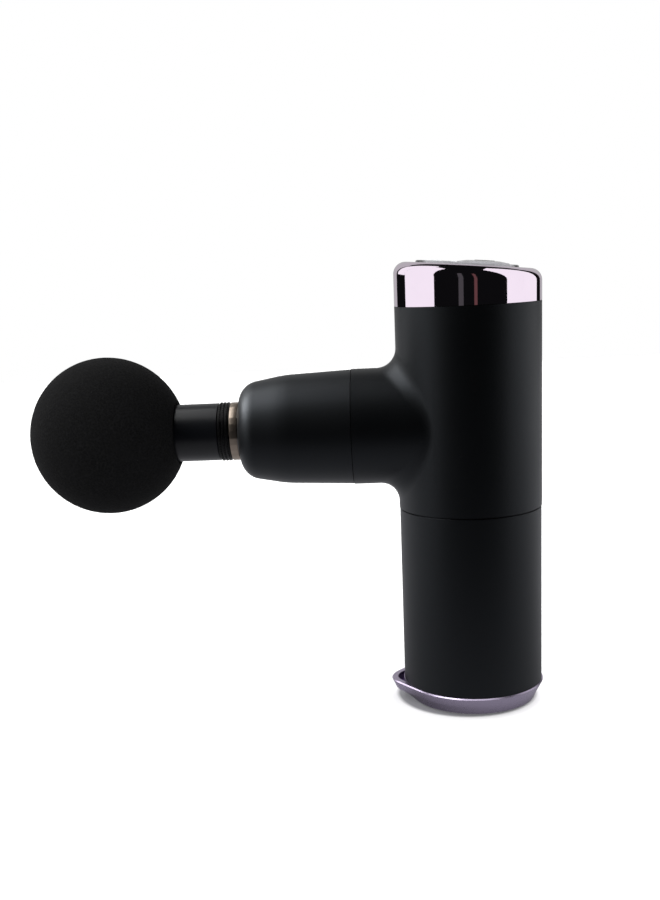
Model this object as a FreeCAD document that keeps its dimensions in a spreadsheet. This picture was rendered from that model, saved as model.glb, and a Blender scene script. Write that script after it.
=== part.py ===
import FreeCAD, Part
import math
import os
import Sketcher
from types import SimpleNamespace

# A hand-held massage gun, in millimetres. The handle stands on the origin along +Z, and the
# barrel points along -X, with a soft ball on the end of its moving shaft.

DRIVING_SIZES = {
    # outer shape of the handle, from the foot up
    "foot_lift": 0.6,
    "ring_height": 5.9,
    "ring_top_radius": 22.8,
    "ring_foot_radius": 20.0,
    "ring_bevel": 0.35,
    "grip_radius": 22.35,
    "body_radius": 22.5,
    "seam_height": 64.2,
    "housing_top": 127.4,
    "cap_rise": 11.5,
    "cap_tilt": 5.7,
    "cap_edge": 3.6,
    "wall": 1.8,
    "gasket_inset": 0.35,
    "seam_gap": 0.3,
    "fit_gap": 0.1,
    "lip": 3.0,
    # the eye for a wrist strap, behind the handle's foot
    "eye_reach": 17.6,
    "eye_top_radius": 9.0,
    "eye_mid_radius": 7.6,
    "eye_foot_radius": 3.9,
    "eye_mid_height": 2.6,
    "eye_hole_radius": 7.0,
    # barrel and nose
    "barrel_height": 90.6,
    "barrel_radius": 18.2,
    "barrel_length": 36.5,
    "barrel_blend": 6.0,
    "nose_waist": 58.0,
    "nose_waist_radius": 17.2,
    "nose_front": 72.5,
    "nose_front_radius": 14.6,
    "nose_edge": 6.5,
    "nose_bend": 40.0,
    "nose_wall": 3.7,
    # drive
    "throw": 3.0,
    "rod_length": 29.0,
    "rod_depth": 7.0,
    "rod_eye_radius": 10.2,
    "rod_space": 0.4,
    "pin_radius": 3.0,
    "wrist_radius": 2.5,
    "wrist_space": 0.3,
    "run_gap": 0.03,
    "slide_gap": 0.05,
    "bearing_radius": 7.9,
    "wheel_radius": 9.5,
    "wheel_depth": 3.6,
    "weight_radius": 16.5,
    "piston_radius": 9.0,
    "chamber_radius": 12.0,
    "carrier_radius": 13.3,
    "bushing_radius": 11.0,
    "bushing_start": 39.5,
    "web_front": 29.7,
    "web_depth": 4.0,
    "flange_depth": 3.0,
    "flange_circle": 14.8,
    # motor
    "plate_base": 101.2,
    "plate_depth": 2.8,
    "plate_margin": 3.6,
    "motor_radius": 16.8,
    "motor_depth": 20.4,
    "motor_wall": 0.9,
    "shaft_radius": 2.0,
    "race_radius": 4.05,
    "race_depth": 2.3,
    "magnet_radius": 9.0,
    "motor_screw_circle": 8.0,
    "tooth_width": 3.4,
    # attachment
    "stem_radius": 6.0,
    "stem_space": 0.1,
    "stem_tip": 47.5,
    "ring_thickness": 0.65,
    "socket_depth": 46.5,
    "collar_radius": 9.3,
    "collar_depth": 2.5,
    "band_start": 75.6,
    "band_depth": 3.3,
    "band_radius": 9.35,
    "neck_radius": 9.15,
    "neck_end": 98.0,
    "ball_radius": 25.2,
    "ball_reach": 115.8,
    "core_radius": 14.0,
    "core_depth": 11.0,
    "core_thread": 4.0,
    # control panel, on the slanting top
    "panel_radius": 15.7,
    "panel_proud": 0.7,
    "lens_radius": 13.6,
    "button_radius": 8.4,
    "button_reach": 4.8,
    "button_proud": 1.6,
    "button_travel": 0.4,
    "button_space": 0.3,
    "board_drop": 6.8,
    "board_depth": 1.2,
    "light_circle": 10.6,
    "light_radius": 0.9,
    # battery pack and foot
    "cell_radius": 9.15,
    "cell_length": 65.0,
    "cell_rise": 2.4,
    "tray_radius": 19.8,
    "guard_radius": 19.4,
    "port_board_radius": 6.9,
    "cover_radius": 18.6,
    "cover_depth": 2.8,
    "pad_radius": 17.5,
    "pad_depth": 1.0,
    "foot_circle": 16.3,
    "port_width": 9.0,
    "port_height": 3.2,
    "port_reach": 7.5,
}

LIGHT_ANGLES = (115, 147, 180, 213, 245)
STATOR_TEETH = 6
BAND_RIDGES = 4

doc = FreeCAD.newDocument("massage_gun")
finished = []


class Size:
    """A length that carries both its number and the sheet expression that gives it."""

    def __init__(self, value, text=None):
        self.value = float(value)
        self.text = text or "({:.6g})".format(self.value)

    def joined(self, sign, other, value):
        return Size(value, "({} {} {})".format(self.text, sign, other.text))

    def __add__(self, other):
        other = size(other)
        return self.joined("+", other, self.value + other.value)

    def __sub__(self, other):
        other = size(other)
        return self.joined("-", other, self.value - other.value)

    def __mul__(self, other):
        other = size(other)
        return self.joined("*", other, self.value * other.value)

    def __truediv__(self, other):
        other = size(other)
        return self.joined("/", other, self.value / other.value)

    def __radd__(self, other):
        return size(other) + self

    def __rsub__(self, other):
        return size(other) - self

    def __rmul__(self, other):
        return size(other) * self

    def __neg__(self):
        return size(0) - self


def size(number):
    """The number as a Size."""
    return number if isinstance(number, Size) else Size(number)


def sine(angle):
    """Sine of an angle given in degrees."""
    angle = size(angle)
    return Size(math.sin(math.radians(angle.value)), "sin({} * 1 deg)".format(angle.text))


def cosine(angle):
    """Cosine of an angle given in degrees."""
    angle = size(angle)
    return Size(math.cos(math.radians(angle.value)), "cos({} * 1 deg)".format(angle.text))


def make_sheet():
    """Write the driving sizes into a spreadsheet and return them by name."""
    sheet = doc.addObject("Spreadsheet::Sheet", "Sizes")
    for row, (name, number) in enumerate(DRIVING_SIZES.items(), start=1):
        sheet.set("A{}".format(row), name)
        sheet.set("B{}".format(row), str(number))
        sheet.setAlias("B{}".format(row), name)
    doc.recompute()
    names = {name: Size(number, "Sizes." + name) for name, number in DRIVING_SIZES.items()}
    return SimpleNamespace(**names)


s = make_sheet()

# heights and places that several pieces share
ring_top = s.foot_lift + s.ring_height
grip_end = s.seam_height - s.seam_gap / 2
housing_base = s.seam_height + s.seam_gap / 2
cap_height = s.housing_top + s.cap_rise
grip_inside = s.grip_radius - s.wall
body_inside = s.body_radius - s.wall
barrel_inside = s.barrel_radius - s.wall
plate_circle = s.body_radius - s.plate_margin
wrist_reach = s.rod_length - s.throw
wheel_base = s.barrel_height + s.rod_depth / 2 + s.rod_space
plate_top = s.plate_base + s.plate_depth
motor_top = plate_top + s.motor_depth
spoke = s.cell_radius * (2 / math.sqrt(3)) + s.fit_gap
cell_base = ring_top + s.cell_rise
cell_top = cell_base + s.cell_length
port_base = s.foot_lift + 0.2
port_top = ring_top + 0.8
collar_start = s.nose_front + 0.2
collar_end = collar_start + s.collar_depth
eye_slot_width = s.wrist_radius + s.throw * 0.211 + s.wrist_space
eye_slot_shift = s.wrist_radius + s.throw + s.wrist_space - eye_slot_width


# ---------------------------------------------------------------- helpers


def bind(item, place, length):
    """Tie one property of an object to a size."""
    item.setExpression(place, size(length).text)


def put(item, x=0, y=0, z=0):
    """Tie an object's place to sizes."""
    bind(item, ".Placement.Base.x", x)
    bind(item, ".Placement.Base.y", y)
    bind(item, ".Placement.Base.z", z)
    return item


def lay_forward(item, x=0, y=0, z=0):
    """Turn an upright primitive so that it points along the barrel, and place it."""
    item.Placement = FreeCAD.Placement(FreeCAD.Vector(), FreeCAD.Rotation(FreeCAD.Vector(0, 1, 0), -90))
    return put(item, x, y, z)


def tilt_to_panel(item):
    """Set an object on the slanting top, square to it and centred on the handle."""
    turn = FreeCAD.Rotation(FreeCAD.Vector(0, 1, 0), s.cap_tilt.value)
    item.Placement = FreeCAD.Placement(FreeCAD.Vector(), turn)
    bind(item, ".Placement.Rotation.Angle", s.cap_tilt * Size(1, "1 deg"))
    bind(item, ".Placement.Base.z", cap_height)
    return item


def new_body(name):
    """A new part design body."""
    return doc.addObject("PartDesign::Body", name)


def plane_of(body, role):
    """One of a body's own origin planes."""
    return [item for item in body.Origin.OriginFeatures if item.Role == role][0]


def new_sketch(body, role="XZ_Plane", height=None):
    """A sketch on one of the body's origin planes, lifted by a size if one is given."""
    sketch = body.newObject("Sketcher::SketchObject", body.Name + "_outline")
    sketch.AttachmentSupport = [(plane_of(body, role), "")]
    sketch.MapMode = "FlatFace"
    if height is not None:
        bind(sketch, ".AttachmentOffset.Base.z", height)
    return sketch


def pin_point(sketch, line, end, point):
    """Hold one end of a line at a place given by two sizes."""
    across = sketch.addConstraint(Sketcher.Constraint("DistanceX", line, end, point[0].value))
    bind(sketch, "Constraints[{}]".format(across), point[0])
    up = sketch.addConstraint(Sketcher.Constraint("DistanceY", line, end, point[1].value))
    bind(sketch, "Constraints[{}]".format(up), point[1])


def polygon(sketch, points):
    """A closed outline of straight lines through points given as sizes."""
    corners = [(size(x), size(y)) for x, y in points]
    flat = [FreeCAD.Vector(x.value, y.value, 0) for x, y in corners]
    count = len(flat)
    for index in range(count):
        sketch.addGeometry(Part.LineSegment(flat[index], flat[(index + 1) % count]))
    for index in range(count):
        sketch.addConstraint(Sketcher.Constraint("Coincident", index, 2, (index + 1) % count, 1))
    for index, corner in enumerate(corners):
        pin_point(sketch, index, 1, corner)


def turn(body, kind, points, axis):
    """Add (Revolution) or take away (Groove) a polygon turned once about a sketch axis."""
    sketch = new_sketch(body)
    polygon(sketch, points)
    feature = body.newObject("PartDesign::" + kind, body.Name + "_turned")
    feature.Profile = sketch
    feature.ReferenceAxis = (sketch, [axis])
    feature.Angle = 360
    doc.recompute()
    return feature


def turned(name, points, upright=True):
    """A body turned from one polygon, about the handle's axis or the barrel's."""
    body = new_body(name)
    turn(body, "Revolution", points, "V_Axis" if upright else "H_Axis")
    if not upright:
        put(body, z=s.barrel_height)
    return body


def forward(points):
    """Barrel outlines are written as (distance ahead, radius); ahead is -X."""
    return [(-size(ahead), radius) for ahead, radius in points]


def edges_where(shape, test):
    """Names of the edges that pass a test."""
    return ["Edge{}".format(n) for n, edge in enumerate(shape.Edges, start=1) if test(edge)]


def rounded(body, test, radius, kind="Fillet"):
    """Round (or chamfer) a body's edges that pass a test."""
    base = body.Tip
    feature = body.newObject("PartDesign::" + kind, body.Name + "_edge")
    feature.Base = (base, edges_where(base.Shape, test))
    bind(feature, "Radius" if kind == "Fillet" else "Size", radius)
    doc.recompute()
    return feature


def cylinder(name, radius, depth, x=0, y=0, z=0):
    """An upright cylinder standing on a point."""
    item = doc.addObject("Part::Cylinder", name)
    bind(item, "Radius", radius)
    bind(item, "Height", depth)
    return put(item, x, y, z)


def block(name, length, width, depth, x=0, y=0, z=0):
    """A box centred on a point in plan and standing on it."""
    item = doc.addObject("Part::Box", name)
    bind(item, "Length", length)
    bind(item, "Width", width)
    bind(item, "Height", depth)
    return put(item, x - size(length) / 2, y - size(width) / 2, z)


def joined(name, pieces):
    """One solid from pieces that overlap."""
    item = doc.addObject("Part::MultiFuse", name)
    item.Shapes = pieces
    item.Refine = True
    return item


def grouped(name, pieces):
    """Separate solids kept together in one node."""
    item = doc.addObject("Part::Compound", name)
    item.Links = pieces
    return item


def carved(name, base, tools):
    """A solid with the tools cut out of it."""
    tool = tools[0] if len(tools) == 1 else grouped(name + "_tools", tools)
    item = doc.addObject("Part::Cut", name)
    item.Base = base
    item.Tool = tool
    return item


def keep(item, label):
    """Finish a sub-part under its own label."""
    doc.recompute()
    item.Label = label
    finished.append(item)
    return item


def around(count, start=0.0):
    """Evenly spaced angles in degrees."""
    return [start + 360.0 * index / count for index in range(count)]


def on_circle(radius, angle):
    """A point on a circle, as two sizes."""
    return radius * math.cos(math.radians(angle)), radius * math.sin(math.radians(angle))


def screw_outline(shank, head, head_depth, length):
    """Half outline of a screw that points down, its head standing on z = 0."""
    recess = shank * 0.7
    return [
        (0, -size(length)),
        (shank, -size(length) + shank * 0.6),
        (shank, 0),
        (head, 0),
        (head, head_depth * 0.55),
        (head - head_depth * 0.4, head_depth),
        (recess, head_depth),
        (recess, head_depth * 0.35),
        (0, head_depth * 0.2),
    ]


def screw(name, shank, head, head_depth, length):
    """One pan-head screw, pointing down."""
    return turned(name, screw_outline(size(shank), size(head), size(head_depth), length))


# ---------------------------------------------------------------- outer shells


def make_grip_sleeve():
    """The lower half of the handle, a plain tube around the battery pack."""
    sleeve = turned("sleeve", [
        (grip_inside, ring_top),
        (s.grip_radius, ring_top),
        (s.grip_radius, grip_end),
        (grip_inside, grip_end),
    ])
    top_edge = lambda edge: abs(edge.BoundBox.ZMin - grip_end.value) < 0.01
    outside = lambda edge: edge.BoundBox.XMax > s.grip_radius.value - 0.5
    rounded(sleeve, lambda edge: top_edge(edge) and outside(edge) and edge.Closed, 0.25)
    keep(sleeve, "grip_sleeve")


def make_seam_gasket():
    """A thin rubber ring that shows as a dark line around the middle of the handle."""
    gasket = turned("gasket", [
        (grip_inside + s.fit_gap, grip_end),
        (s.grip_radius - s.gasket_inset, grip_end),
        (s.grip_radius - s.gasket_inset, housing_base),
        (grip_inside + s.fit_gap, housing_base),
    ])
    keep(gasket, "seam_gasket")


def saddle(edge):
    """The curved edge where the barrel leaves the body."""
    box = edge.BoundBox
    round_all_ways = box.XLength > 1 and box.YLength > 10 and box.ZLength > 10
    return round_all_ways and box.XMax < 0


def make_upper_housing():
    """The upper half of the handle with the barrel's root, hollow, with a ledge and a web inside."""
    low = housing_base - s.barrel_height
    high = s.housing_top - s.barrel_height
    ledge_top = s.plate_base - s.barrel_height
    ledge_low = ledge_top - 2.4
    ledge_inside = s.body_radius - 5.0
    shell = new_body("housing_shell")
    turn(shell, "Revolution", [(0, low), (s.body_radius, low), (s.body_radius, high), (0, high)], "V_Axis")
    turn(shell, "Revolution", forward([
        (0, 0), (0, s.barrel_radius), (s.barrel_length, s.barrel_radius), (s.barrel_length, 0),
    ]), "H_Axis")
    rounded(shell, saddle, s.barrel_blend)
    turn(shell, "Groove", [
        (0, low), (body_inside, low), (body_inside, ledge_low), (ledge_inside, ledge_low),
        (ledge_inside, ledge_top), (body_inside, ledge_top), (body_inside, high), (0, high),
    ], "V_Axis")
    web_back = s.web_front - s.web_depth
    turn(shell, "Groove", forward([
        (s.barrel_length, 0), (s.barrel_length, barrel_inside), (s.web_front, barrel_inside),
        (s.web_front, s.chamber_radius + 0.6), (web_back, s.chamber_radius + 0.6),
        (web_back, barrel_inside - 0.6), (12, barrel_inside - 0.6), (12, 0),
    ]), "H_Axis")
    lip_inside = spoke + s.cell_radius + 0.13
    turn(shell, "Revolution", [
        (lip_inside, low - s.lip), (grip_inside - s.fit_gap, low - s.lip),
        (grip_inside - s.fit_gap, low), (body_inside + 0.2, low),
        (body_inside + 0.2, low + s.lip), (lip_inside, low + s.lip),
    ], "V_Axis")
    put(shell, z=s.barrel_height)
    pilots = []
    for number, angle in enumerate(around(4, 45)):
        x, y = on_circle(plate_circle, angle)
        pilots.append(cylinder("ledge_pilot{}".format(number), 0.85, 6, x, y, s.plate_base - 5))
    for number, angle in enumerate(around(4, 45)):
        y, up = on_circle(s.flange_circle, angle)
        pilot = cylinder("web_pilot{}".format(number), 0.65, 5)
        pilots.append(lay_forward(pilot, -s.web_front + 4.5, y, s.barrel_height + up))
    pilots.append(block("ledge_notch", 4.2, 4.6, 6, s.body_radius - 3.85, 0, s.plate_base - 4))
    keep(carved("housing", shell, pilots), "upper_housing")


def make_nose_cover():
    """The front half of the barrel, a tapering shell with a round mouth."""
    shell = new_body("nose_shell")
    back = s.barrel_length + 0.2
    rim = s.barrel_radius - 0.15
    turn(shell, "Revolution", forward([
        (back, 0), (back, rim), (s.nose_waist, s.nose_waist_radius),
        (s.nose_front, s.nose_front_radius), (s.nose_front, 0),
    ]), "H_Axis")
    at_front = lambda edge: edge.BoundBox.XMax < -s.nose_front.value + 0.01
    rounded(shell, at_front, s.nose_edge)
    at_waist = lambda edge: (abs(edge.BoundBox.XMax + s.nose_waist.value) < 0.01
                             and edge.BoundBox.XLength < 0.01)
    rounded(shell, at_waist, s.nose_bend)
    inner_front = s.nose_front - s.nose_wall
    spigot = s.barrel_length - 2.4
    turn(shell, "Groove", forward([
        (back, 0), (back, barrel_inside - 0.9), (s.nose_waist, s.nose_waist_radius - s.wall),
        (inner_front - 2.3, s.carrier_radius + 0.5), (inner_front, s.bushing_radius + 0.6),
        (inner_front, s.collar_radius + 0.35), (s.nose_front, s.collar_radius + 0.35), (s.nose_front, 0),
    ]), "H_Axis")
    turn(shell, "Revolution", forward([
        (spigot, barrel_inside - 0.7), (spigot, barrel_inside - s.fit_gap),
        (back + 1, barrel_inside - s.fit_gap), (back + 1, barrel_inside - 0.7),
    ]), "H_Axis")
    put(shell, z=s.barrel_height)
    keep(shell, "nose_cover")


def make_top_cap():
    """The bright cap on top, cut on a slant and hollow, with a round hole for the control panel."""
    base = s.housing_top + s.fit_gap
    crown = cap_height + 10
    shell = new_body("cap_shell")
    turn(shell, "Revolution", [
        (0, base), (s.body_radius, base), (s.body_radius, crown), (0, crown),
    ], "V_Axis")
    slant = new_sketch(shell)
    reach = s.body_radius + 10
    rise = reach * sine(s.cap_tilt) / cosine(s.cap_tilt)
    polygon(slant, [
        (-reach, cap_height + rise), (reach, cap_height - rise),
        (reach, crown + 10), (-reach, crown + 10),
    ])
    slice_off = shell.newObject("PartDesign::Pocket", "cap_slant")
    slice_off.Profile = slant
    slice_off.Type = "ThroughAll"
    slice_off.Midplane = True
    doc.recompute()
    top_rim = lambda edge: edge.BoundBox.ZMin > base.value + 2 and edge.BoundBox.YLength > 10
    rounded(shell, top_rim, s.cap_edge)
    ceiling = cap_height - s.body_radius * sine(s.cap_tilt) - s.wall
    turn(shell, "Groove", [(0, base), (body_inside, base), (body_inside, ceiling), (0, ceiling)], "V_Axis")
    turn(shell, "Revolution", [
        (body_inside - 0.7, base - s.lip), (body_inside - s.fit_gap, base - s.lip),
        (body_inside - s.fit_gap, base), (body_inside + 0.2, base),
        (body_inside + 0.2, base + 1.5), (body_inside - 0.7, base + 1.5),
    ], "V_Axis")
    well = turned("panel_well", [
        (0, -12), (s.panel_radius + 0.05, -12), (s.panel_radius + 0.05, 6), (0, 6),
    ])
    tilt_to_panel(well)
    keep(carved("cap", shell, [well]), "top_cap")


# ---------------------------------------------------------------- control panel


def make_panel_bezel():
    """The dark frame of the control panel, with three posts that carry the board."""
    frame = turned("bezel_frame", [
        (s.lens_radius - 1.2, -4), (s.panel_radius, -4), (s.panel_radius, s.panel_proud - 0.25),
        (s.panel_radius - 0.35, s.panel_proud), (s.lens_radius + 0.1, s.panel_proud),
        (s.lens_radius + 0.1, -1), (s.lens_radius - 1.2, -1),
    ])
    pieces = [frame]
    pilots = []
    for number, angle in enumerate(around(3, 60)):
        x, y = on_circle(s.lens_radius - 0.1, angle)
        post = cylinder("board_post{}".format(number), 1.6, s.board_drop - 3, x, y, -s.board_drop)
        pilot = cylinder("post_pilot{}".format(number), 0.6, 2.4, x, y, -s.board_drop - 0.1)
        pieces.append(post)
        pilots.append(pilot)
    bezel = carved("bezel", joined("bezel_solid", pieces), pilots)
    tilt_to_panel(bezel)
    keep(bezel, "panel_bezel")


def make_panel_lens():
    """The glossy front of the panel, slightly crowned, open around the button and the lights."""
    cover = turned("lens_disc", [
        (0, -0.95), (s.lens_radius, -0.95), (s.lens_radius, 0.35), (s.lens_radius - 0.4, 0.6),
        (s.button_radius, 0.85), (0, 0.9),
    ])
    tools = [cylinder("button_well", s.button_radius + s.button_space, 4, s.button_reach, 0, -2)]
    for number, angle in enumerate(LIGHT_ANGLES):
        x, y = on_circle(s.light_circle, angle)
        tools.append(cylinder("light_well{}".format(number), s.light_radius + 0.05, 4, x, y, -2))
    lens = carved("lens", cover, tools)
    tilt_to_panel(lens)
    keep(lens, "panel_lens")


def make_light_pipes():
    """Five clear pins that carry the level lights up from the board."""
    pins = []
    for number, angle in enumerate(LIGHT_ANGLES):
        x, y = on_circle(s.light_circle, angle)
        pin = turned("light_pin{}".format(number), [
            (0, 0.1 - s.board_drop), (s.light_radius, 0.1 - s.board_drop), (s.light_radius, 0.8),
            (s.light_radius * 0.7, 1.1), (0, 1.2),
        ])
        pins.append(put(pin, x, y))
    pipes = grouped("pipes", pins)
    tilt_to_panel(pipes)
    keep(pipes, "light_pipes")


def make_power_button():
    """The domed push button, with a stem that presses the switch."""
    crown = s.button_proud
    foot = s.button_travel + 0.02 - 4.3
    button = turned("button", [
        (0, foot), (1.5, foot), (1.5, -0.5), (s.button_radius, -0.5), (s.button_radius, crown - 1.0),
        (s.button_radius - 0.5, crown - 0.6), (s.button_radius * 0.6, crown - 0.15), (0, crown),
    ])
    tilt_to_panel(button)
    bind(button, ".Placement.Base.x", s.button_reach * cosine(s.cap_tilt))
    bind(button, ".Placement.Base.z", cap_height - s.button_reach * sine(s.cap_tilt))
    keep(button, "power_button")


def make_control_board():
    """The round circuit board under the panel, and the three screws that hold it."""
    top = -s.board_drop
    board = cylinder("board_blank", s.lens_radius + 1.4, s.board_depth, 0, 0, top - s.board_depth)
    chip = block("board_chip", 6, 6, 1.0, -2, 0, top - s.board_depth - 0.99)
    holes = []
    screws = []
    for number, angle in enumerate(around(3, 60)):
        x, y = on_circle(s.lens_radius - 0.1, angle)
        holes.append(cylinder("board_hole{}".format(number), 0.8, 4, x, y, top - 3))
        one = screw("board_screw{}".format(number), 0.55, 1.2, 0.8, 3.2)
        one.Placement = FreeCAD.Placement(FreeCAD.Vector(), FreeCAD.Rotation(FreeCAD.Vector(1, 0, 0), 180))
        screws.append(put(one, x, y, top - s.board_depth - 0.02))
    drilled = carved("board", joined("board_solid", [board, chip]), holes)
    tilt_to_panel(drilled)
    keep(drilled, "control_board")
    keep(tilt_to_panel(grouped("board_fixings", screws)), "board_screws")


def make_tact_switch():
    """The small click switch under the button."""
    top = -s.board_drop
    case = block("switch_case", 6, 6, 2.0, s.button_reach, 0, top)
    key = cylinder("switch_key", 1.7, 0.6, s.button_reach, 0, top + 1.9)
    switch = joined("switch", [case, key])
    tilt_to_panel(switch)
    keep(switch, "tact_switch")


# ---------------------------------------------------------------- motor


def make_motor_bracket():
    """The plate that carries the motor, on the housing's ledge, and its four screws."""
    plate = turned("bracket_plate", [
        (5.0, s.plate_base), (body_inside - 0.15, s.plate_base),
        (body_inside - 0.15, plate_top), (5.0, plate_top),
    ])
    tools = [block("bracket_notch", 4.2, 4.6, 6, s.body_radius - 3.85, 0, s.plate_base - 1)]
    screws = []
    for number, angle in enumerate(around(4, 45)):
        x, y = on_circle(plate_circle, angle)
        tools.append(cylinder("bracket_hole{}".format(number), 1.0, 6, x, y, s.plate_base - 1))
        one = screw("bracket_screw{}".format(number), 0.8, 1.55, 1.3, 6.6)
        screws.append(put(one, x, y, plate_top))
    for number, angle in enumerate(around(4)):
        x, y = on_circle(s.motor_screw_circle, angle)
        tools.append(cylinder("motor_hole{}".format(number), 1.25, 6, x, y, s.plate_base - 1))
    keep(carved("bracket", plate, tools), "motor_bracket")
    keep(grouped("bracket_fixings", screws), "bracket_screws")


def make_motor_case():
    """The motor's steel can, open at the top, and the end cap that closes it."""
    wall = s.motor_wall
    rim = motor_top - 1.5
    hub = s.race_radius + 1.3
    bore = s.race_radius + 0.04
    can = turned("can_shell", [
        (bore, plate_top), (s.motor_radius, plate_top), (s.motor_radius, rim),
        (s.motor_radius - wall, rim), (s.motor_radius - wall, plate_top + 1.5), (hub, plate_top + 1.5),
        (hub, plate_top + s.race_depth + 0.6), (bore, plate_top + s.race_depth + 0.6),
    ])
    pilots = []
    screws = []
    for number, angle in enumerate(around(4)):
        x, y = on_circle(s.motor_screw_circle, angle)
        pilots.append(cylinder("can_hole{}".format(number), 1.0, 3, x, y, plate_top - 1))
        one = screw("motor_screw{}".format(number), 0.95, 1.8, 1.4, s.plate_depth + 1.3)
        one.Placement = FreeCAD.Placement(FreeCAD.Vector(), FreeCAD.Rotation(FreeCAD.Vector(1, 0, 0), 180))
        screws.append(put(one, x, y, s.plate_base))
    keep(carved("can", can, pilots), "motor_can")
    keep(grouped("motor_fixings", screws), "motor_screws")
    cap = turned("end_cap", [
        (bore, rim - s.race_depth - 0.2), (hub, rim - s.race_depth - 0.2), (hub, rim),
        (s.motor_radius, rim), (s.motor_radius, motor_top - 0.4), (s.motor_radius - 0.4, motor_top),
        (0, motor_top), (0, rim + 0.7), (bore, rim + 0.7),
    ])
    keep(cap, "motor_end_cap")


def bearing_outline(bore, outer, low, depth):
    """Half outline of a ball race: a ring with a shallow groove in each face."""
    high = low + depth
    inner_land = bore + (outer - bore) * 0.3
    outer_land = bore + (outer - bore) * 0.7
    return [
        (bore, low), (inner_land, low), (inner_land, low + 0.3), (outer_land, low + 0.3),
        (outer_land, low), (outer, low), (outer, high), (outer_land, high),
        (outer_land, high - 0.3), (inner_land, high - 0.3), (inner_land, high), (bore, high),
    ]


def make_motor_bearings():
    """The motor's front and rear ball bearings."""
    bore = s.shaft_radius + s.run_gap
    front = turned("front_race", bearing_outline(bore, s.race_radius, plate_top + 0.2, s.race_depth))
    keep(front, "front_bearing")
    low = motor_top - 1.5 - s.race_depth - 0.1
    rear = turned("rear_race", bearing_outline(bore, s.race_radius, low, s.race_depth))
    keep(rear, "rear_bearing")


def make_stator():
    """The motor's fixed part: a toothed iron ring, and a copper coil around each tooth."""
    low = plate_top + 3.6
    depth = s.motor_depth - 8.6
    outer = s.motor_radius - s.motor_wall - 0.06
    yoke = s.motor_radius - 3.4
    tip = s.magnet_radius + 0.8
    ring = turned("stator_ring", [(yoke, low), (outer, low), (outer, low + depth), (yoke, low + depth)])
    teeth = [ring]
    coils = []
    for number, angle in enumerate(around(STATOR_TEETH)):
        x, y = on_circle((tip + yoke) / 2 + 0.2, angle)
        tooth = block("tooth{}".format(number), yoke - tip + 0.8, s.tooth_width, depth, 0, 0, 0)
        teeth.append(swung(tooth, x, y, low, angle))
        length = yoke - tip - 0.9
        wrap = block("coil_wrap{}".format(number), length, s.tooth_width + 2.4, depth + 2.4, 0, 0, 0)
        core = block("coil_core{}".format(number), length + 1, s.tooth_width + 0.1, depth + 0.1, 0, 0, 1.15)
        coil = carved("coil{}".format(number), wrap, [core])
        x, y = on_circle((tip + yoke) / 2, angle)
        turn_in_place(coil, x, y, low - 1.2, angle)
        coils.append(coil)
    keep(joined("stator", teeth), "stator_core")
    keep(grouped("windings", coils), "stator_windings")


def turn_in_place(item, x, y, z, angle):
    """Turn an object about Z and place it."""
    item.Placement = FreeCAD.Placement(FreeCAD.Vector(), FreeCAD.Rotation(FreeCAD.Vector(0, 0, 1), angle))
    return put(item, x, y, z)


def swung(item, x, y, z, angle):
    """An object carried, with its own offset, to a place and turned about Z there."""
    carrier = grouped(item.Name + "_set", [item])
    return turn_in_place(carrier, x, y, z, angle)


def make_rotor():
    """The motor's turning part: the magnet and the drive shaft."""
    low = plate_top + 4.0
    high = motor_top - 5.4
    bore = s.shaft_radius + 0.02
    magnet = turned("magnet", [(bore, low), (s.magnet_radius, low), (s.magnet_radius, high), (bore, high)])
    keep(magnet, "motor_rotor")
    shaft = cylinder("shaft", s.shaft_radius, motor_top - 1.2 - wheel_base - 1.0, 0, 0, wheel_base + 1.0)
    keep(shaft, "drive_shaft")


# ---------------------------------------------------------------- crank and piston


def make_eccentric_wheel():
    """The crank: a wheel on the motor shaft with an off-centre pin under it."""
    wheel = cylinder("wheel", s.wheel_radius, s.wheel_depth, 0, 0, wheel_base)
    pin_drop = s.rod_depth + s.rod_space + 1.5
    pin = turned("wheel_pin", [
        (0, 0.5), (s.pin_radius, 0.5),
        (s.pin_radius, 1.0 - pin_drop + 0.3), (s.pin_radius - 0.6, 1.3 - pin_drop),
        (s.pin_radius - 0.6, 0.5 - pin_drop), (s.pin_radius, 0.5 - pin_drop),
        (s.pin_radius, 0 - pin_drop), (0, 0 - pin_drop),
    ])
    put(pin, s.throw, 0, wheel_base)
    shaft_hole = cylinder("wheel_bore", s.shaft_radius + 0.02, 10, 0, 0, wheel_base + 0.9)
    keep(carved("eccentric", joined("eccentric_solid", [wheel, pin]), [shaft_hole]), "eccentric_wheel")
    clip = turned("clip", [
        (s.pin_radius - 0.55, 0.55 - pin_drop), (s.pin_radius + 1.4, 0.55 - pin_drop),
        (s.pin_radius + 1.4, 1.25 - pin_drop), (s.pin_radius - 0.55, 1.25 - pin_drop),
    ])
    put(clip, s.throw, 0, wheel_base)
    keep(clip, "pin_clip")


def make_counterweight():
    """A half ring of brass that balances the crank pin."""
    disc = cylinder("weight_disc", s.weight_radius, s.wheel_depth, 0, 0, wheel_base)
    disc.Angle = 180
    disc.Placement = FreeCAD.Placement(FreeCAD.Vector(), FreeCAD.Rotation(FreeCAD.Vector(0, 0, 1), 90))
    put(disc, 0, 0, wheel_base)
    core = cylinder("weight_bore", s.wheel_radius + 0.02, 20, 0, 0, wheel_base - 5)
    keep(carved("weight", disc, [core]), "counterweight")


def oblong(name, radius, shift, depth, x, z):
    """An upright slot shape: two circles set apart across the barrel, and what is between."""
    return joined(name, [
        cylinder(name + "_left", radius, depth, x, shift, z),
        cylinder(name + "_right", radius, depth, x, -shift, z),
        block(name + "_mid", radius * 2, shift * 2, depth, x, 0, z),
    ])


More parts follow.
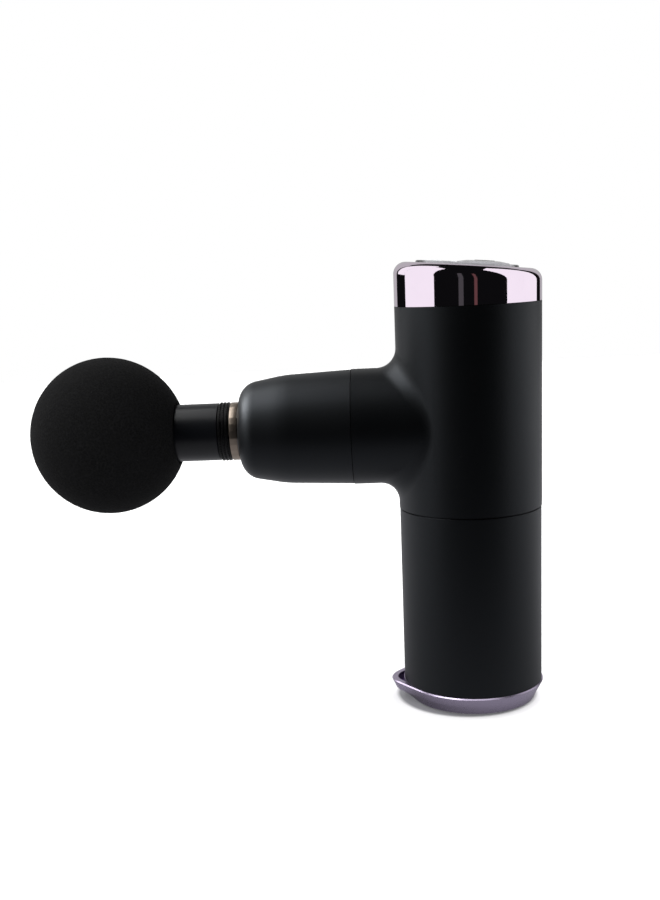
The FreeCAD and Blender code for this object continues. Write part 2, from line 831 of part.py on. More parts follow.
def make_connecting_rod():
    """The rod from the crank pin to the piston, with its bearing."""
    low = s.barrel_height - s.rod_depth / 2
    far = s.throw - s.rod_length
    big_eye = cylinder("big_eye", s.rod_eye_radius, s.rod_depth, s.throw, 0, low)
    small_eye = oblong("small_eye", eye_slot_width + 2.2, eye_slot_shift, s.rod_depth, far, low)
    web = block("rod_web", s.rod_length - 9, 7.0, s.rod_depth - 2.4,
                s.throw - s.rod_length / 2, 0, low + 1.2)
    bore = cylinder("big_bore", s.bearing_radius + 0.04, s.rod_depth + 2, s.throw, 0, low - 1)
    slot = oblong("small_slot", eye_slot_width, eye_slot_shift, s.rod_depth + 2, far, low - 1)
    keep(carved("rod", joined("rod_solid", [big_eye, small_eye, web]), [bore, slot]), "connecting_rod")
    bore_radius = s.pin_radius + s.run_gap
    race = turned("rod_race", bearing_outline(bore_radius, s.bearing_radius, low, s.rod_depth))
    put(race, x=s.throw)
    keep(race, "rod_bearing")


def make_piston():
    """The steel piston: forked at the back, hollow at the front for the attachment's stem."""
    back = wrist_reach - s.wrist_radius - 3.0
    fork_end = wrist_reach + eye_slot_width + 2.2 + s.throw * 0.211 + 0.6
    bore = s.stem_radius + s.stem_space
    spigot = s.collar_radius - 1.3
    shell = turned("piston_shell", forward([
        (back, 0), (back, s.piston_radius), (collar_start, s.piston_radius), (collar_start, spigot),
        (collar_end - 0.5, spigot), (collar_end - 0.5, bore), (s.socket_depth, bore), (s.socket_depth, 0),
    ]), upright=False)
    gap = s.rod_depth + s.rod_space * 2
    fork = block("fork_gap", fork_end - back + 2, 30, gap, -(fork_end + back) / 2 + 1, 0,
                 s.barrel_height - gap / 2)
    cross = cylinder("wrist_hole", s.wrist_radius + 0.02, 30, -wrist_reach, 0, s.barrel_height - 15)
    keep(carved("piston_cut", shell, [fork, cross]), "piston")
    pin = cylinder("wrist", s.wrist_radius, s.piston_radius * 2 - 1.6, -wrist_reach, 0,
                   s.barrel_height - s.piston_radius + 0.8)
    keep(pin, "wrist_pin")
    collar = turned("collar", forward([
        (collar_start + 0.02, spigot + 0.02), (collar_start + 0.02, s.collar_radius - 0.2),
        (collar_start + 0.25, s.collar_radius), (collar_end - 0.35, s.collar_radius),
        (collar_end, s.collar_radius - 0.35), (collar_end, bore), (collar_end - 0.45, bore),
        (collar_end - 0.45, spigot + 0.02),
    ]), upright=False)
    keep(collar, "piston_collar")


def make_barrel_carrier():
    """The aluminium tube that holds the slide bushing, screwed to the housing's web."""
    flange_front = s.web_front + s.flange_depth
    front = s.nose_front - s.nose_wall - 1.8
    carrier = turned("carrier_tube", forward([
        (s.web_front, s.chamber_radius), (s.web_front, barrel_inside - 0.2),
        (flange_front, barrel_inside - 0.2), (flange_front, s.carrier_radius),
        (front, s.carrier_radius), (front, s.bushing_radius + 0.05),
        (s.bushing_start, s.bushing_radius + 0.05), (s.bushing_start, s.chamber_radius),
    ]), upright=False)
    holes = []
    screws = []
    for number, angle in enumerate(around(4, 45)):
        y, up = on_circle(s.flange_circle, angle)
        hole = cylinder("flange_hole{}".format(number), 0.85, 8)
        holes.append(lay_forward(hole, -s.web_front + 2, y, s.barrel_height + up))
        one = screw("flange_screw{}".format(number), 0.6, 1.25, 1.1, s.flange_depth + 3.4)
        screws.append(lay_forward(one, -flange_front - 0.02, y, s.barrel_height + up))
    keep(carved("carrier", carrier, holes), "barrel_carrier")
    keep(grouped("flange_fixings", screws), "flange_screws")
    bushing = turned("bushing", forward([
        (s.bushing_start + 0.2, s.piston_radius + s.slide_gap), (s.bushing_start + 0.2, s.bushing_radius),
        (front - 0.2, s.bushing_radius), (front - 0.2, s.piston_radius + s.slide_gap),
    ]), upright=False)
    keep(bushing, "slide_bushing")
    seal = turned("seal", forward([
        (front + 0.1, s.piston_radius + 0.3), (front + 0.1, s.bushing_radius + 0.5),
        (s.nose_front - s.nose_wall - 0.1, s.bushing_radius + 0.5),
        (s.nose_front - s.nose_wall - 0.1, s.piston_radius + 0.8),
        (front + 0.9, s.piston_radius + 0.3),
    ]), upright=False)
    keep(seal, "nose_seal")


# ---------------------------------------------------------------- attachment


def make_head_stem():
    """The attachment's stem and neck in one moulding, with grooves for two rubber rings."""
    neck_start = s.band_start + s.band_depth + 0.1
    stem = turned("stem", forward([
        (s.stem_tip, 0), (s.stem_tip, s.stem_radius - 0.8), (s.stem_tip + 0.8, s.stem_radius),
        (neck_start, s.stem_radius), (neck_start, s.neck_radius - 0.3), (neck_start + 0.3, s.neck_radius),
        (s.neck_end, s.neck_radius), (s.neck_end, s.core_thread),
        (s.neck_end + s.core_depth + 1, s.core_thread), (s.neck_end + s.core_depth + 1, 0),
    ]), upright=False)
    rings = []
    for number, place in enumerate((s.stem_tip + 4.5, s.stem_tip + 20)):
        turn(stem, "Groove", forward([
            (place - 0.95, s.stem_radius + 1), (place - 0.95, s.stem_radius - 1.3),
            (place + 0.95, s.stem_radius - 1.3), (place + 0.95, s.stem_radius + 1),
        ]), "H_Axis")
        ring = doc.addObject("Part::Torus", "stem_ring{}".format(number))
        thick = s.ring_thickness
        bind(ring, "Radius1", s.stem_radius + s.stem_space - 0.05 - thick)
        bind(ring, "Radius2", thick)
        rings.append(lay_forward(ring, -place, 0, s.barrel_height))
    keep(stem, "head_stem")
    keep(grouped("stem_seals", rings), "stem_rings")


def make_neck_band():
    """The ridged rubber band between the piston's collar and the neck."""
    start = s.band_start
    pitch = s.band_depth / BAND_RIDGES
    inner = s.stem_radius + 0.03
    outline = [(start, inner)]
    for ridge in range(BAND_RIDGES):
        near = start + pitch * ridge
        outline.append((near, s.band_radius - 0.35))
        outline.append((near + pitch * 0.25, s.band_radius))
        outline.append((near + pitch * 0.75, s.band_radius))
    outline.append((start + s.band_depth, s.band_radius - 0.35))
    outline.append((start + s.band_depth, inner))
    keep(turned("band", forward(outline), upright=False), "neck_band")


def core_shape(name, bore, gap=0.0):
    """The core's turned shape, thicker in the middle than at its ends, grown by a gap."""
    start = s.neck_end + 1
    wide = s.core_radius + gap
    near_end = (start - gap, s.core_radius - 2 + gap)
    far_end = (start + s.core_depth + gap, s.core_radius - 3 + gap)
    return turned(name, forward([
        (start - gap, bore), near_end, (start + 3, wide), (start + s.core_depth - 3, wide),
        far_end, (start + s.core_depth + gap, bore),
    ]), upright=False)


def make_ball():
    """The soft ball, and the hard core inside it that the stem screws into."""
    keep(core_shape("core", s.core_thread + s.fit_gap / 2), "head_core")
    ball = doc.addObject("Part::Sphere", "ball_blank")
    bind(ball, "Radius", s.ball_radius)
    put(ball, -s.ball_reach, 0, s.barrel_height)
    mouth = turned("ball_mouth", forward([
        (s.ball_reach - s.ball_radius - 5, 0), (s.ball_reach - s.ball_radius - 5, s.neck_radius + 0.25),
        (s.neck_end + 1.5, s.neck_radius + 0.25), (s.neck_end + 1.5, 0),
    ]), upright=False)
    cavity = core_shape("ball_cavity", 0, s.fit_gap / 2)
    keep(carved("ball", ball, [mouth, cavity]), "foam_ball")


# ---------------------------------------------------------------- battery pack


def make_battery():
    """Three upright cells, the tray under them, the clamp over them and the welded strips."""
    cells = []
    pockets = []
    for number, angle in enumerate(around(3, 90)):
        x, y = on_circle(spoke, angle)
        cell = turned("cell{}".format(number), [
            (0, cell_base), (s.cell_radius - 0.4, cell_base), (s.cell_radius, cell_base + 0.4),
            (s.cell_radius, cell_top - 2.2), (s.cell_radius - 0.3, cell_top - 1.9),
            (s.cell_radius, cell_top - 1.6), (s.cell_radius, cell_top - 0.4),
            (s.cell_radius - 0.4, cell_top), (0, cell_top),
        ])
        cells.append(put(cell, x, y))
        pockets.append(cylinder("clamp_pocket{}".format(number), s.cell_radius + 0.05, 10,
                                x, y, cell_top - 8))
    keep(grouped("cells", cells), "battery_cells")
    clamp = cylinder("clamp_disc", spoke + s.cell_radius + 0.1, 4, 0, 0, cell_top - 1)
    middle = cylinder("clamp_window", 6, 10, 0, 0, cell_top - 4)
    keep(carved("clamp", clamp, pockets + [middle]), "battery_clamp")


def make_battery_tray():
    """The tray that locates the cells and takes the screws of the foot."""
    low = ring_top + 0.1
    high = cell_base - 0.3
    tray = turned("tray_disc", [(0, low), (s.tray_radius, low), (s.tray_radius, high), (0, high)])
    pieces = [tray]
    pilots = [cylinder("tray_window", 7.2, 8, s.port_reach, 0, low - 1)]
    for number, angle in enumerate(around(3, 30)):
        x, y = on_circle(s.foot_circle, angle)
        pieces.append(cylinder("tray_boss{}".format(number), 2.5, 7, x, y, low))
        pilots.append(cylinder("tray_pilot{}".format(number), 0.95, 6.5, x, y, low - 1))
    keep(carved("tray", joined("tray_solid", pieces), pilots), "battery_tray")


def make_battery_strips():
    """Nickel strips under the cells: two bars that meet at each pair."""
    low = cell_base - 0.2
    bars = []
    for number, angle in enumerate((0, 120)):
        x, y = on_circle(spoke * 0.5, angle + 30)
        bar = block("strip{}".format(number), 6, 22, 0.15, 0, 0, 0)
        bars.append(swung(bar, x * 1.5, y * 1.5, low, angle + 30))
    keep(grouped("strips", bars), "battery_strips")


def make_battery_board():
    """The round protection board over the battery pack."""
    low = cell_top + 3.4
    board = cylinder("guard_blank", s.guard_radius, 1.2, 0, 0, low)
    chip = block("guard_chip", 8, 6, 1.2, 4, -6, low + 1.19)
    plug = block("guard_plug", 5, 7, 2.4, 14.5, 0, low + 1.19)
    keep(joined("guard", [board, chip, plug]), "battery_board")


def make_wire_loom():
    """Two insulated wires from the battery board up past the motor to the control board."""
    radius = 0.85
    low = cell_top.value + 3.4 + 2.5
    side = s.body_radius.value - 3.65
    turn_height = motor_top.value + 3.0
    top = cap_height.value - (s.board_drop + s.board_depth).value - 1.3
    wires = []
    for shift in (-1.15, 1.15):
        corners = [
            FreeCAD.Vector(side, shift, low),
            FreeCAD.Vector(side, shift, turn_height),
            FreeCAD.Vector(11.0, shift, turn_height),
            FreeCAD.Vector(11.0, shift, top),
        ]
        run = Part.makeSphere(radius, corners[1]).fuse(Part.makeSphere(radius, corners[2]))
        for start, end in zip(corners, corners[1:]):
            run = run.fuse(Part.makeCylinder(radius, (end - start).Length, start, end - start))
        wires.append(run)
    loom = doc.addObject("Part::Feature", "loom")
    loom.Shape = Part.makeCompound(wires)
    keep(loom, "wire_loom")


# ---------------------------------------------------------------- foot


def egg_sketch(body, height, round_radius, eye_radius):
    """A closed outline: the handle's circle and the eye's smaller circle, joined by tangents."""
    sketch = new_sketch(body, "XY_Plane", height)
    reach = s.eye_reach.value
    lean = math.acos((round_radius.value - eye_radius.value) / reach)
    origin = FreeCAD.Vector()
    eye = FreeCAD.Vector(-reach, 0, 0)
    up = FreeCAD.Vector(0, 0, 1)
    side = FreeCAD.Vector(-math.cos(lean), math.sin(lean), 0)
    other = FreeCAD.Vector(-math.cos(lean), -math.sin(lean), 0)
    big = Part.Circle(origin, up, round_radius.value)
    small = Part.Circle(eye, up, eye_radius.value)
    big_arc = Part.ArcOfCircle(big, -math.pi + lean, math.pi - lean)
    small_arc = Part.ArcOfCircle(small, math.pi - lean, math.pi + lean)
    sketch.addGeometry(big_arc)
    sketch.addGeometry(Part.LineSegment(side * round_radius.value, eye + side * eye_radius.value))
    sketch.addGeometry(small_arc)
    sketch.addGeometry(Part.LineSegment(eye + other * eye_radius.value, other * round_radius.value))
    for first, first_end, second, second_end in ((0, 2, 1, 1), (1, 2, 2, 1), (2, 2, 3, 1), (3, 2, 0, 1)):
        sketch.addConstraint(Sketcher.Constraint("Tangent", first, first_end, second, second_end))
    sketch.addConstraint(Sketcher.Constraint("Coincident", 0, 3, -1, 1))
    pin_point(sketch, 2, 3, (-s.eye_reach, size(0)))
    for arc, radius in ((0, round_radius), (2, eye_radius)):
        number = sketch.addConstraint(Sketcher.Constraint("Radius", arc, radius.value))
        bind(sketch, "Constraints[{}]".format(number), radius)
    return sketch


def make_base_ring():
    """The bright ring around the foot, tapering down, with an eye for a wrist strap behind."""
    ring = new_body("ring")
    mid_height = s.foot_lift + s.eye_mid_height
    share = s.eye_mid_height / s.ring_height
    mid_radius = s.ring_foot_radius + (s.ring_top_radius - s.ring_foot_radius) * share
    bevel = s.ring_bevel
    sections = [
        egg_sketch(ring, s.foot_lift, s.ring_foot_radius, s.eye_foot_radius),
        egg_sketch(ring, mid_height, mid_radius, s.eye_mid_radius),
        egg_sketch(ring, ring_top - bevel, s.ring_top_radius, s.eye_top_radius),
        egg_sketch(ring, ring_top, s.ring_top_radius - bevel, s.eye_top_radius - bevel),
    ]
    loft = ring.newObject("PartDesign::AdditiveLoft", "ring_loft")
    loft.Profile = sections[0]
    loft.Sections = sections[1:]
    loft.Ruled = True
    doc.recompute()
    cover_top = s.foot_lift + s.cover_depth
    turn(ring, "Groove", [
        (0, s.foot_lift), (s.cover_radius + s.fit_gap, s.foot_lift),
        (s.cover_radius + s.fit_gap, cover_top),
        (14, cover_top), (14, ring_top), (0, ring_top),
    ], "V_Axis")
    turn(ring, "Revolution", [
        (19.9, ring_top - 1), (grip_inside - s.fit_gap, ring_top - 1),
        (grip_inside - s.fit_gap, ring_top + 1.8), (19.9, ring_top + 1.8),
    ], "V_Axis")
    eye_post = cylinder("eye_post", s.eye_hole_radius, 12, -s.eye_reach, 0, s.foot_lift - 2)
    hand = cylinder("eye_core", s.body_radius + 0.1, 20, 0, 0, s.foot_lift - 5)
    crescent = carved("eye_crescent", eye_post, [hand])
    holes = [crescent]
    for number, angle in enumerate(around(3, 30)):
        x, y = on_circle(s.foot_circle, angle)
        holes.append(cylinder("ring_hole{}".format(number), 1.15, 8, x, y, s.foot_lift))
    keep(carved("ring_cut", ring, holes), "base_ring")


def port_shape(name, grow, low, depth):
    """The charging port's long round shape, grown by a gap."""
    radius = s.port_height / 2 + grow
    shift = (s.port_width - s.port_height) / 2
    return joined(name, [
        cylinder(name + "_left", radius, depth, s.port_reach - shift, 0, low),
        cylinder(name + "_right", radius, depth, s.port_reach + shift, 0, low),
        block(name + "_mid", shift * 2, radius * 2, depth, s.port_reach, 0, low),
    ])


def make_base_cover():
    """The plate that closes the foot, its screws, and the rubber pad in its recess."""
    low = s.foot_lift
    high = s.foot_lift + s.cover_depth - 0.1
    plate = turned("cover_plate", [
        (0, s.pad_depth), (s.pad_radius + 0.1, s.pad_depth), (s.pad_radius + 0.1, low),
        (s.cover_radius - 0.3, low), (s.cover_radius, low + 0.3),
        (s.cover_radius, high), (0, high),
    ])
    tools = [port_shape("cover_port", 0.1, low - 1, 8)]
    screws = []
    for number, angle in enumerate(around(3, 30)):
        x, y = on_circle(s.foot_circle, angle)
        tools.append(cylinder("cover_hole{}".format(number), 1.15, 6, x, y, low))
        tools.append(cylinder("cover_sink{}".format(number), 1.95, 1.3, x, y, s.pad_depth - 0.1))
        one = screw("base_screw{}".format(number), 0.9, 1.75, 1.1, 8.6)
        one.Placement = FreeCAD.Placement(FreeCAD.Vector(), FreeCAD.Rotation(FreeCAD.Vector(1, 0, 0), 180))
        screws.append(put(one, x, y, s.pad_depth + 1.18))
    keep(carved("cover", plate, tools), "base_cover")
    keep(grouped("base_fixings", screws), "base_screws")
    disc = turned("pad_disc", [
        (0, 0), (s.pad_radius - 0.2, 0), (s.pad_radius, 0.2), (s.pad_radius, s.pad_depth), (0, s.pad_depth),
    ])
    keep(carved("pad", disc, [port_shape("pad_port", 0.6, -1, 8)]), "foot_pad")


def make_charge_port():
    """The charging socket in the foot, and the small board behind it."""
    depth = port_top - port_base
    shell = port_shape("port_shell", 0, port_base, depth)
    hollow = port_shape("port_hollow", -0.35, port_base - 1, depth + 0.3)
    cup = carved("port_cup", shell, [hollow])
    tongue = block("port_tongue", 6.0, 0.7, depth - 1, s.port_reach, 0, port_base + 0.8)
    keep(joined("port", [cup, tongue]), "charge_socket")
    board = cylinder("port_board", s.port_board_radius, 0.8, s.port_reach, 0, port_top)
    keep(board, "charge_board")


def build():
    """Make every sub-part."""
    make_grip_sleeve()
    make_seam_gasket()
    make_upper_housing()
    make_nose_cover()
    make_top_cap()
    make_panel_bezel()
    make_panel_lens()
    make_light_pipes()
    make_power_button()
    make_control_board()
    make_tact_switch()
    make_motor_bracket()
    make_motor_case()
    make_motor_bearings()
    make_stator()
    make_rotor()
    make_eccentric_wheel()
    make_counterweight()
    make_connecting_rod()
    make_piston()
    make_barrel_carrier()
    make_head_stem()
    make_neck_band()
    make_ball()
    make_battery()
    make_battery_tray()
    make_battery_strips()
    make_battery_board()
    make_wire_loom()
    make_base_ring()
    make_base_cover()
    make_charge_port()
    doc.recompute()


def check():
    """Refuse to write anything if one object failed or one shape isn't sound."""
    for item in doc.Objects:
        if "Invalid" in item.State or "Error" in item.State:
            raise RuntimeError("{} failed: {}".format(item.Name, item.State))
    for item in finished:
        shape = item.Shape
        if shape.isNull() or not shape.isValid() or not shape.Solids:
            raise RuntimeError("{} has no sound shape".format(item.Label))


def write():
    """Write each sub-part to its own file."""
    os.makedirs("parts", exist_ok=True)
    for item in finished:
        item.Shape.exportStep("parts/{}.step".format(item.Label))
        box = item.Shape.BoundBox
        print("{:18s} solids {} volume {:10.2f}".format(
            item.Label, len(item.Shape.Solids), item.Shape.Volume), end="")
        print("  x {:8.2f} {:8.2f}  y {:7.2f} {:7.2f}  z {:7.2f} {:7.2f}".format(
            box.XMin, box.XMax, box.YMin, box.YMax, box.ZMin, box.ZMax))


build()
check()
write()
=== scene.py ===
import math

import bmesh
import bpy
from bpy.props import FloatProperty, FloatVectorProperty, IntProperty, PointerProperty
from bpy.types import Operator, Panel, PropertyGroup
from mathutils import Matrix, Vector, noise


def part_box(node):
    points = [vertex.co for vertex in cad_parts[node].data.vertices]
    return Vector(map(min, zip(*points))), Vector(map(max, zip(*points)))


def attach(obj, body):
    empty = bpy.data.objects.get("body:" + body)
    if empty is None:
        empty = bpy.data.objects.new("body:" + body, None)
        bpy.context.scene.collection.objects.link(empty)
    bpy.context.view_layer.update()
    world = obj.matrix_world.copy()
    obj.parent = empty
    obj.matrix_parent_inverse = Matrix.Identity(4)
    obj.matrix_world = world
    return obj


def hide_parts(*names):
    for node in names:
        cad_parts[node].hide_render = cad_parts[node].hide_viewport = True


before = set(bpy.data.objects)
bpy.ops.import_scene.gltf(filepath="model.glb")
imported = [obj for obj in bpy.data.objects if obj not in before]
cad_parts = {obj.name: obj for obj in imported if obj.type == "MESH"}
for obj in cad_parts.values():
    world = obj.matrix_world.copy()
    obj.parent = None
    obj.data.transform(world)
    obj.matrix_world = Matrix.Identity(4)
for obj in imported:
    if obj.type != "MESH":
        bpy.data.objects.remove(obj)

bl_info = {
    "name": "Massage Gun Finisher",
    "version": (1, 0, 0),
    "blender": (4, 5, 0),
    "location": "View3D > Sidebar > Massage Gun",
    "description": "Dresses a cordless massage gun: foam ball, bright trim, shells and studio",
    "category": "Object",
}

MM = 0.001
FULL_TURN = 2 * math.pi
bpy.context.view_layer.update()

# places that come from the frame
BALL_LOW, BALL_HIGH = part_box("foam_ball")
BALL_RADIUS = (BALL_HIGH.z - BALL_LOW.z) / 2
BALL_CENTRE = BALL_LOW + Vector((BALL_RADIUS, BALL_RADIUS, BALL_RADIUS))
STEM_LOW, STEM_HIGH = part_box("head_stem")
NECK_RADIUS = (STEM_HIGH.z - STEM_LOW.z) / 2
BARREL_HEIGHT = (STEM_HIGH.z + STEM_LOW.z) / 2
COLLAR_LOW, COLLAR_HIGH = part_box("piston_collar")
BAND_LOW, BAND_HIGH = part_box("neck_band")
BUTTON_LOW, BUTTON_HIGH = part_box("power_button")
PANEL_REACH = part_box("panel_bezel")[1].x
PANEL_TILT = math.radians(5.7)
CAP_HEIGHT = 138.9 * MM
BUTTON_CROWN = 1.63 * MM

# how the ball's mouth rolls in: depth, then the share of the lip that is still open
MOUTH_ROLL = ((0.12 * MM, 0.40), (0.45 * MM, 0.12), (0.95 * MM, 0.0))

# what the collar and the band fit over
COLLAR_BORE = 6.25 * MM
COLLAR_STEP = 8.12 * MM
COLLAR_LIP = 0.42 * MM
BAND_BORE = 6.1 * MM

# the level lights' places around the panel in degrees, their flatness and the length of their roots
LIGHT_ANGLES = (115, 147, 180, 213, 245)
LIGHT_FLATNESS = 0.55
LIGHT_ROOT = 6.0

# one ridge of the band: share of the pitch, then share of the ridge's depth
RIDGE_PROFILE = ((0.18, 0.0), (0.30, 1.0), (0.70, 1.0), (0.82, 0.0))
NOTCH_BORDER = 0.05 * MM

# the studio: distance of the side softboxes, the floor's half sizes and middle,
# the part of the floor's light that throws shadows, and where the floor goes from the painted shade
# to open
SOFTBOX_REACH = 0.62
FLOOR_HALF = (1.4, 0.75)
FLOOR_MIDDLE = (0, 0.57, -0.2 * MM)
SHADOWED_WASH = 0.3
PAINTED_SHADE_EDGE = (-1.0 * MM, 0.5 * MM)
PAINTED_FOOT_SHADE = (21.5 * MM, 25.5 * MM)
BRIGHT_TOP = ("top_cap", "panel_bezel", "panel_lens", "power_button", "level_lights", "power_mark")


# ------------------------------------------------------------------ sizes and colours


class FoamBallSettings(PropertyGroup):
    """The soft ball at the front."""

    mouth_gap: FloatProperty(
        name="Mouth Gap", description="Space between the neck and the ball's mouth",
        default=0.25 * MM, min=0, subtype="DISTANCE", unit="LENGTH")
    lip: FloatProperty(
        name="Lip", description="How far the mouth's edge rolls inwards",
        default=0.9 * MM, min=0, subtype="DISTANCE", unit="LENGTH")
    mouth_depth: FloatProperty(
        name="Mouth Depth", description="How far the neck's hole goes into the ball",
        default=6.4 * MM, min=0, subtype="DISTANCE", unit="LENGTH")
    pebble_depth: FloatProperty(
        name="Pebble Depth", description="Depth of the moulded skin's uneven surface",
        default=0.07 * MM, min=0, subtype="DISTANCE", unit="LENGTH")
    pebble_size: FloatProperty(
        name="Pebble Size", description="Width of one pebble on the moulded skin",
        default=1.3 * MM, min=0.1 * MM, subtype="DISTANCE", unit="LENGTH")
    colour: FloatVectorProperty(
        name="Foam Colour", description="Colour of the closed-cell foam",
        subtype="COLOR", size=3, min=0, max=1, default=(0.0080, 0.0080, 0.0084))


class TrimSettings(PropertyGroup):
    """The metal collar and the rubber band behind the neck."""

    flats: IntProperty(
        name="Collar Flats", description="Number of flats ground around the collar",
        default=26, min=6)
    flat_edge: FloatProperty(
        name="Flat Edge", description="Width of the broken edge between two flats",
        default=0.16 * MM, min=0, subtype="DISTANCE", unit="LENGTH")
    ridges: IntProperty(
        name="Band Ridges", description="Number of ridges around the rubber band", default=3, min=1)
    ridge_depth: FloatProperty(
        name="Ridge Depth", description="Depth of the grooves between two ridges",
        default=0.45 * MM, min=0, subtype="DISTANCE", unit="LENGTH")
    notches: IntProperty(
        name="Band Notches", description="Number of notches around each ridge", default=60, min=8)
    notch_depth: FloatProperty(
        name="Notch Depth", description="Depth of one notch in a ridge",
        default=0.22 * MM, min=0, subtype="DISTANCE", unit="LENGTH")
    collar_colour: FloatVectorProperty(
        name="Collar Colour", description="Colour of the bronze-plated collar",
        subtype="COLOR", size=3, min=0, max=1, default=(0.45, 0.375, 0.31))
    neck_colour: FloatVectorProperty(
        name="Neck Colour", description="Colour of the moulded neck",
        subtype="COLOR", size=3, min=0, max=1, default=(0.0145, 0.016, 0.021))


class PanelSettings(PropertyGroup):
    """The control panel on the slanting top."""

    light_circle: FloatProperty(
        name="Light Circle", description="Radius of the circle that the level lights stand on",
        default=10.6 * MM, min=0, subtype="DISTANCE", unit="LENGTH")
    light_radius: FloatProperty(
        name="Light Radius", description="Radius of one level light",
        default=0.9 * MM, min=0, subtype="DISTANCE", unit="LENGTH")
    light_rise: FloatProperty(
        name="Light Rise", description="Height of a level light's dome over the slanting top",
        default=1.15 * MM, min=0, subtype="DISTANCE", unit="LENGTH")
    mark_radius: FloatProperty(
        name="Mark Radius", description="Radius of the power mark on the button",
        default=2.4 * MM, min=0, subtype="DISTANCE", unit="LENGTH")
    mark_width: FloatProperty(
        name="Mark Width", description="Width of the power mark's line",
        default=0.45 * MM, min=0, subtype="DISTANCE", unit="LENGTH")
    mark_gap: FloatProperty(
        name="Mark Gap", description="Angle left open at the top of the power mark",
        default=math.radians(70), min=0, subtype="ANGLE", unit="ROTATION")
    # this light grey is partly the front's own colour and partly a painted reflection
    colour: FloatVectorProperty(
        name="Panel Colour", description="Colour of the panel's glossy front",
        subtype="COLOR", size=3, min=0, max=1, default=(0.46, 0.46, 0.49))


class ShellSettings(PropertyGroup):
    """The finishes of the shells, the cap and the base ring."""

    shell_colour: FloatVectorProperty(
        name="Shell Colour", description="Colour of the soft-touch shells",
        subtype="COLOR", size=3, min=0, max=1, default=(0.0031, 0.0033, 0.0038))
    shell_roughness: FloatProperty(
        name="Shell Roughness", description="How matt the soft-touch coating is",
        default=0.44, min=0, max=1, subtype="FACTOR")
    chrome_colour: FloatVectorProperty(
        name="Chrome Colour", description="Tint of the cap's bright plating",
        subtype="COLOR", size=3, min=0, max=1, default=(0.97, 0.84, 0.98))
    ring_colour: FloatVectorProperty(
        name="Ring Colour", description="Tint of the base ring's satin plating",
        subtype="COLOR", size=3, min=0, max=1, default=(0.58, 0.505, 0.67))


class StudioSettings(PropertyGroup):
    """The camera and the lights."""

    heading: FloatProperty(
        name="Heading", description="Camera's turn around the handle, from straight beside it",
        default=math.radians(-3.559), subtype="ANGLE", unit="ROTATION")
    distance: FloatProperty(
        name="Distance", description="Camera's distance from the handle's axis",
        default=0.36218, min=0.01, subtype="DISTANCE", unit="LENGTH")
    height: FloatProperty(
        name="Height", description="Camera's height over the floor",
        default=0.13886, subtype="DISTANCE", unit="LENGTH")
    yaw: FloatProperty(
        name="Yaw", description="How far the camera looks to the left of the handle's axis",
        default=math.radians(9.262), subtype="ANGLE", unit="ROTATION")
    pitch: FloatProperty(
        name="Pitch", description="How far the camera looks down",
        default=math.radians(13.13), subtype="ANGLE", unit="ROTATION")
    roll: FloatProperty(
        name="Roll", description="How far the camera leans about its own line of sight",
        default=math.radians(-2.935), subtype="ANGLE", unit="ROTATION")
    lens: FloatProperty(
        name="Lens", description="Focal length in millimetres on a 36 mm tall frame",
        default=45.551, min=1)
    shift_across: FloatProperty(
        name="Shift Across", description="Lens shift to the side, as a share of the frame's height",
        default=0.04444)
    shift_up: FloatProperty(
        name="Shift Up", description="Lens shift upwards, as a share of the frame's height",
        default=0.1)
    softbox_glow: FloatProperty(
        name="Softbox Glow", description="Brightness of the two side softboxes on the shells",
        default=0.68, min=0)
    cap_glow: FloatProperty(
        name="Cap Glow", description="Brightness of the two side softboxes on the bright cap",
        default=0.93, min=0)
    back_glow: FloatProperty(
        name="Back Glow", description="Brightness of the panel behind the object",
        default=0.45, min=0)
    nose_glow: FloatProperty(
        name="Nose Glow", description="Brightness of the strip that lights the barrel's front",
        default=7.0, min=0)
    panel_glow: FloatProperty(
        name="Panel Glow", description="Brightness of the light that only the control panel gets",
        default=2.6, min=0)
    line_glow: FloatProperty(
        name="Line Glow", description="Brightness of the light that draws the base ring's top edge",
        default=1.3, min=0)
    ball_glow: FloatProperty(
        name="Ball Glow", description="Brightness of the weak panel that lights only the ball",
        default=1.0, min=0)
    top_glow: FloatProperty(
        name="Top Glow", description="Brightness of the panel above the left softbox",
        default=2.6, min=0)
    floor_glow: FloatProperty(
        name="Floor Glow", description="Brightness of the panel that lights only the floor",
        default=3.4, min=0)
    # a shadow painted into the floor's colour under the foot, not cast by a light
    painted_shade_place: FloatVectorProperty(
        name="Shade Place", description="Middle of the foot's soft shade on the floor",
        default=(-2.0 * MM, 2.3 * MM, 0.0), size=3, subtype="TRANSLATION", unit="LENGTH")
    painted_shade_radius: FloatProperty(
        name="Shade Radius", description="Radius of the foot's soft shade on the floor",
        default=23.0 * MM, min=0, subtype="DISTANCE", unit="LENGTH")


# ------------------------------------------------------------------ making meshes


def finish_piece(shape, name, body, material, replaced=(), sharp=32.0):
    """Turn a bmesh into a piece that rides on a body and may stand for CAD nodes."""
    bmesh.ops.recalc_face_normals(shape, faces=shape.faces)
    if not shape.faces:
        raise RuntimeError("{} has no faces".format(name))
    for face in shape.faces:
        face.smooth = True
    for edge in shape.edges:
        edge.smooth = not edge.is_manifold or edge.calc_face_angle(0.0) < math.radians(sharp)
    mesh = bpy.data.meshes.new(name)
    shape.to_mesh(mesh)
    shape.free()
    piece = bpy.data.objects.new(name, mesh)
    bpy.context.scene.collection.objects.link(piece)
    mesh.materials.append(material)
    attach(piece, body)
    if replaced:
        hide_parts(*replaced)
    return piece


